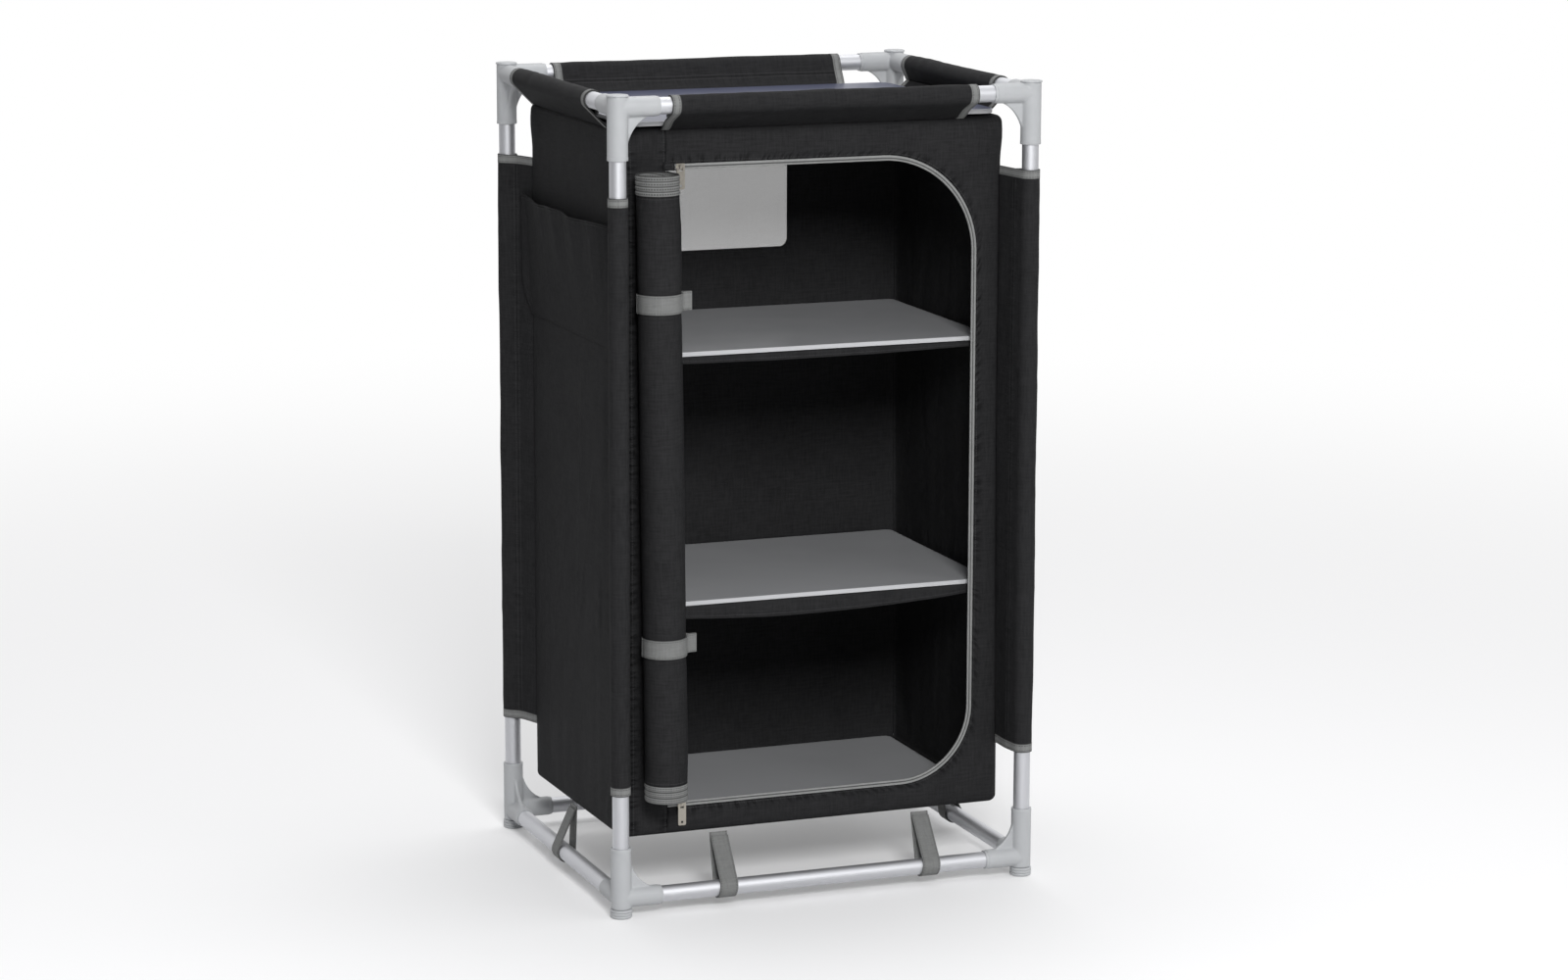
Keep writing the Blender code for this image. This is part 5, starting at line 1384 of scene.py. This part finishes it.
def band(path, low, high, place, shift=None, steps=9):
    """A strip along a path between two heights, with an optional sideways shift at each point of the path."""
    h, s = np.meshgrid(np.linspace(low, high, steps), lengths(path), indexing="ij")
    flat = np.broadcast_to(path, (*h.shape, 2))
    if shift is not None:
        h = h + shift[None]
    gap = np.minimum(h - h.min(axis=0), h.max(axis=0) - h)
    return patch(PLACES[place](flat[..., 0], flat[..., 1], h), np.stack([s, h], -1), np.stack([s, gap], -1))


def strap(name, patches, slot, *nodes, body):
    """A webbing piece: its strips thickened, with narrow rounded edges."""
    piece = thicken(lay(name, patches, WEBBING), WEB_THICK)
    bevel = piece.modifiers.new("soft_edges", "BEVEL")
    bevel.width = 0.0004
    bevel.segments = 2
    bevel.limit_method = "ANGLE"
    bevel.angle_limit = math.radians(50)
    return settle(piece, slot, *nodes, body=body)


def round_roll(stand_off, start, end, count):
    """Points off the roll's outer turn between two angles, seen from its centre."""
    angle = np.linspace(start, end, count)
    far = ROLL_RADIUS + stand_off - ROLL_PITCH * np.mod(TOUCH - angle, math.tau) / math.tau
    return far[:, None] * np.stack([np.cos(angle), np.sin(angle)], 1)


STRAP_HALF, STRAP_GAP = 0.0125, math.radians(5)
TAIL_START, TAIL_END, TAIL_LEVEL = 0.0325, 0.0470, 0.0046
for level, z in STRAP_LEVELS.items():
    centre = np.array([ROLL_X + lean(z), ROLL_Y])
    front = round_roll(FIT + WEB_THICK / 2, math.pi + STRAP_GAP, math.radians(342), 60)
    tail = [(TAIL_START, TAIL_LEVEL - WEB_THICK), (TAIL_END, TAIL_LEVEL)]
    path = np.vstack([front[:-6], smooth_path(np.vstack([front[-6:], tail]), 30)]) + centre
    strap(f"{level}_strap_front", [band(path, z - STRAP_HALF, z + STRAP_HALF, "plan")], "webbing",
          f"{level}_roll_strap", body=f"{level}_roll_strap")
    back = round_roll(WEB_THICK / 2 + 0.0001, math.pi - STRAP_GAP, math.radians(72), 40) + centre
    root = SEAM_AT + np.array([math.cos(TOUCH), math.sin(TOUCH)]) * (ROLL_CLOTH + WEB_THICK) / 2
    root = root + np.array([math.sin(TOUCH), -math.cos(TOUCH)]) * WEB_THICK
    tail_y = TAIL_LEVEL + WEB_THICK + FIT
    tail = smooth_path([root - (lean(z), 0), (TAIL_START, tail_y), (TAIL_END, tail_y)], 30) + centre
    strap(f"{level}_strap_back", [band(back, z - STRAP_HALF - 0.001, z + STRAP_HALF - 0.001, "plan"),
          band(tail, z - STRAP_HALF, z + STRAP_HALF, "plan")], "webbing", "door_roll", body="door_roll")
print("roll straps at", STRAP_LEVELS)

# %% Tie straps round the bottom rails
TIE_RADIUS = TUBE_RADIUS + 0.0006 + WEB_THICK / 2
TIE_TOP = BOX_LOW - 0.0025


def tie(node, axis, edge, turning, centre, place, slant):
    """A loop from the box's bottom seam round a rail and back. slant shifts its foot sideways."""
    path = evenly(drop(axis, edge, TIE_RADIUS, WEB_THICK, turning, 40), 90)
    shift = slant * ((edge[1] - path[:, 1]) / (edge[1] - axis[1]) - 0.5)
    loop = band(path, centre - STRAP_HALF, centre + STRAP_HALF, place, shift)
    return strap(node + "_webbing", [loop], "webbing", node, body="frame")


def tie_at(node, axis_at, edge_at, sign, across, place, slant):
    """A tie strap in the middle of its solid, on the side of the box that the sign says."""
    return tie(node, (sign * axis_at, RAIL_LOW), (sign * edge_at, TIE_TOP), sign, middle(node)[across], place, slant)


ties = [tie_at(f"tie_strap_{end}_{side}", POST_Y, BOX_Y, sign, 0, "side", -0.008)
        for end, sign in (("front", -1), ("rear", 1)) for side in ("left", "right")]
ties += [tie_at(f"tie_strap_{side}", POST_X, BOX_X, sign, 1, "front", -0.006)
         for side, sign in (("left", -1), ("right", 1))]
print(len(ties), "tie straps")

# %% [markdown]
# ## Zip sliders and pulls
#
# These stampings are right as solids, so they stay and only take the plated steel finish.

# %% Steel on the sliders and pulls
for name in ("top_zip_slider", "bottom_zip_slider", "top_zip_pull", "bottom_zip_pull"):
    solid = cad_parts[name]
    for k in range(len(solid.material_slots)):
        solid.material_slots[k].material = STEEL
print("sliders and pulls take", STEEL.name)
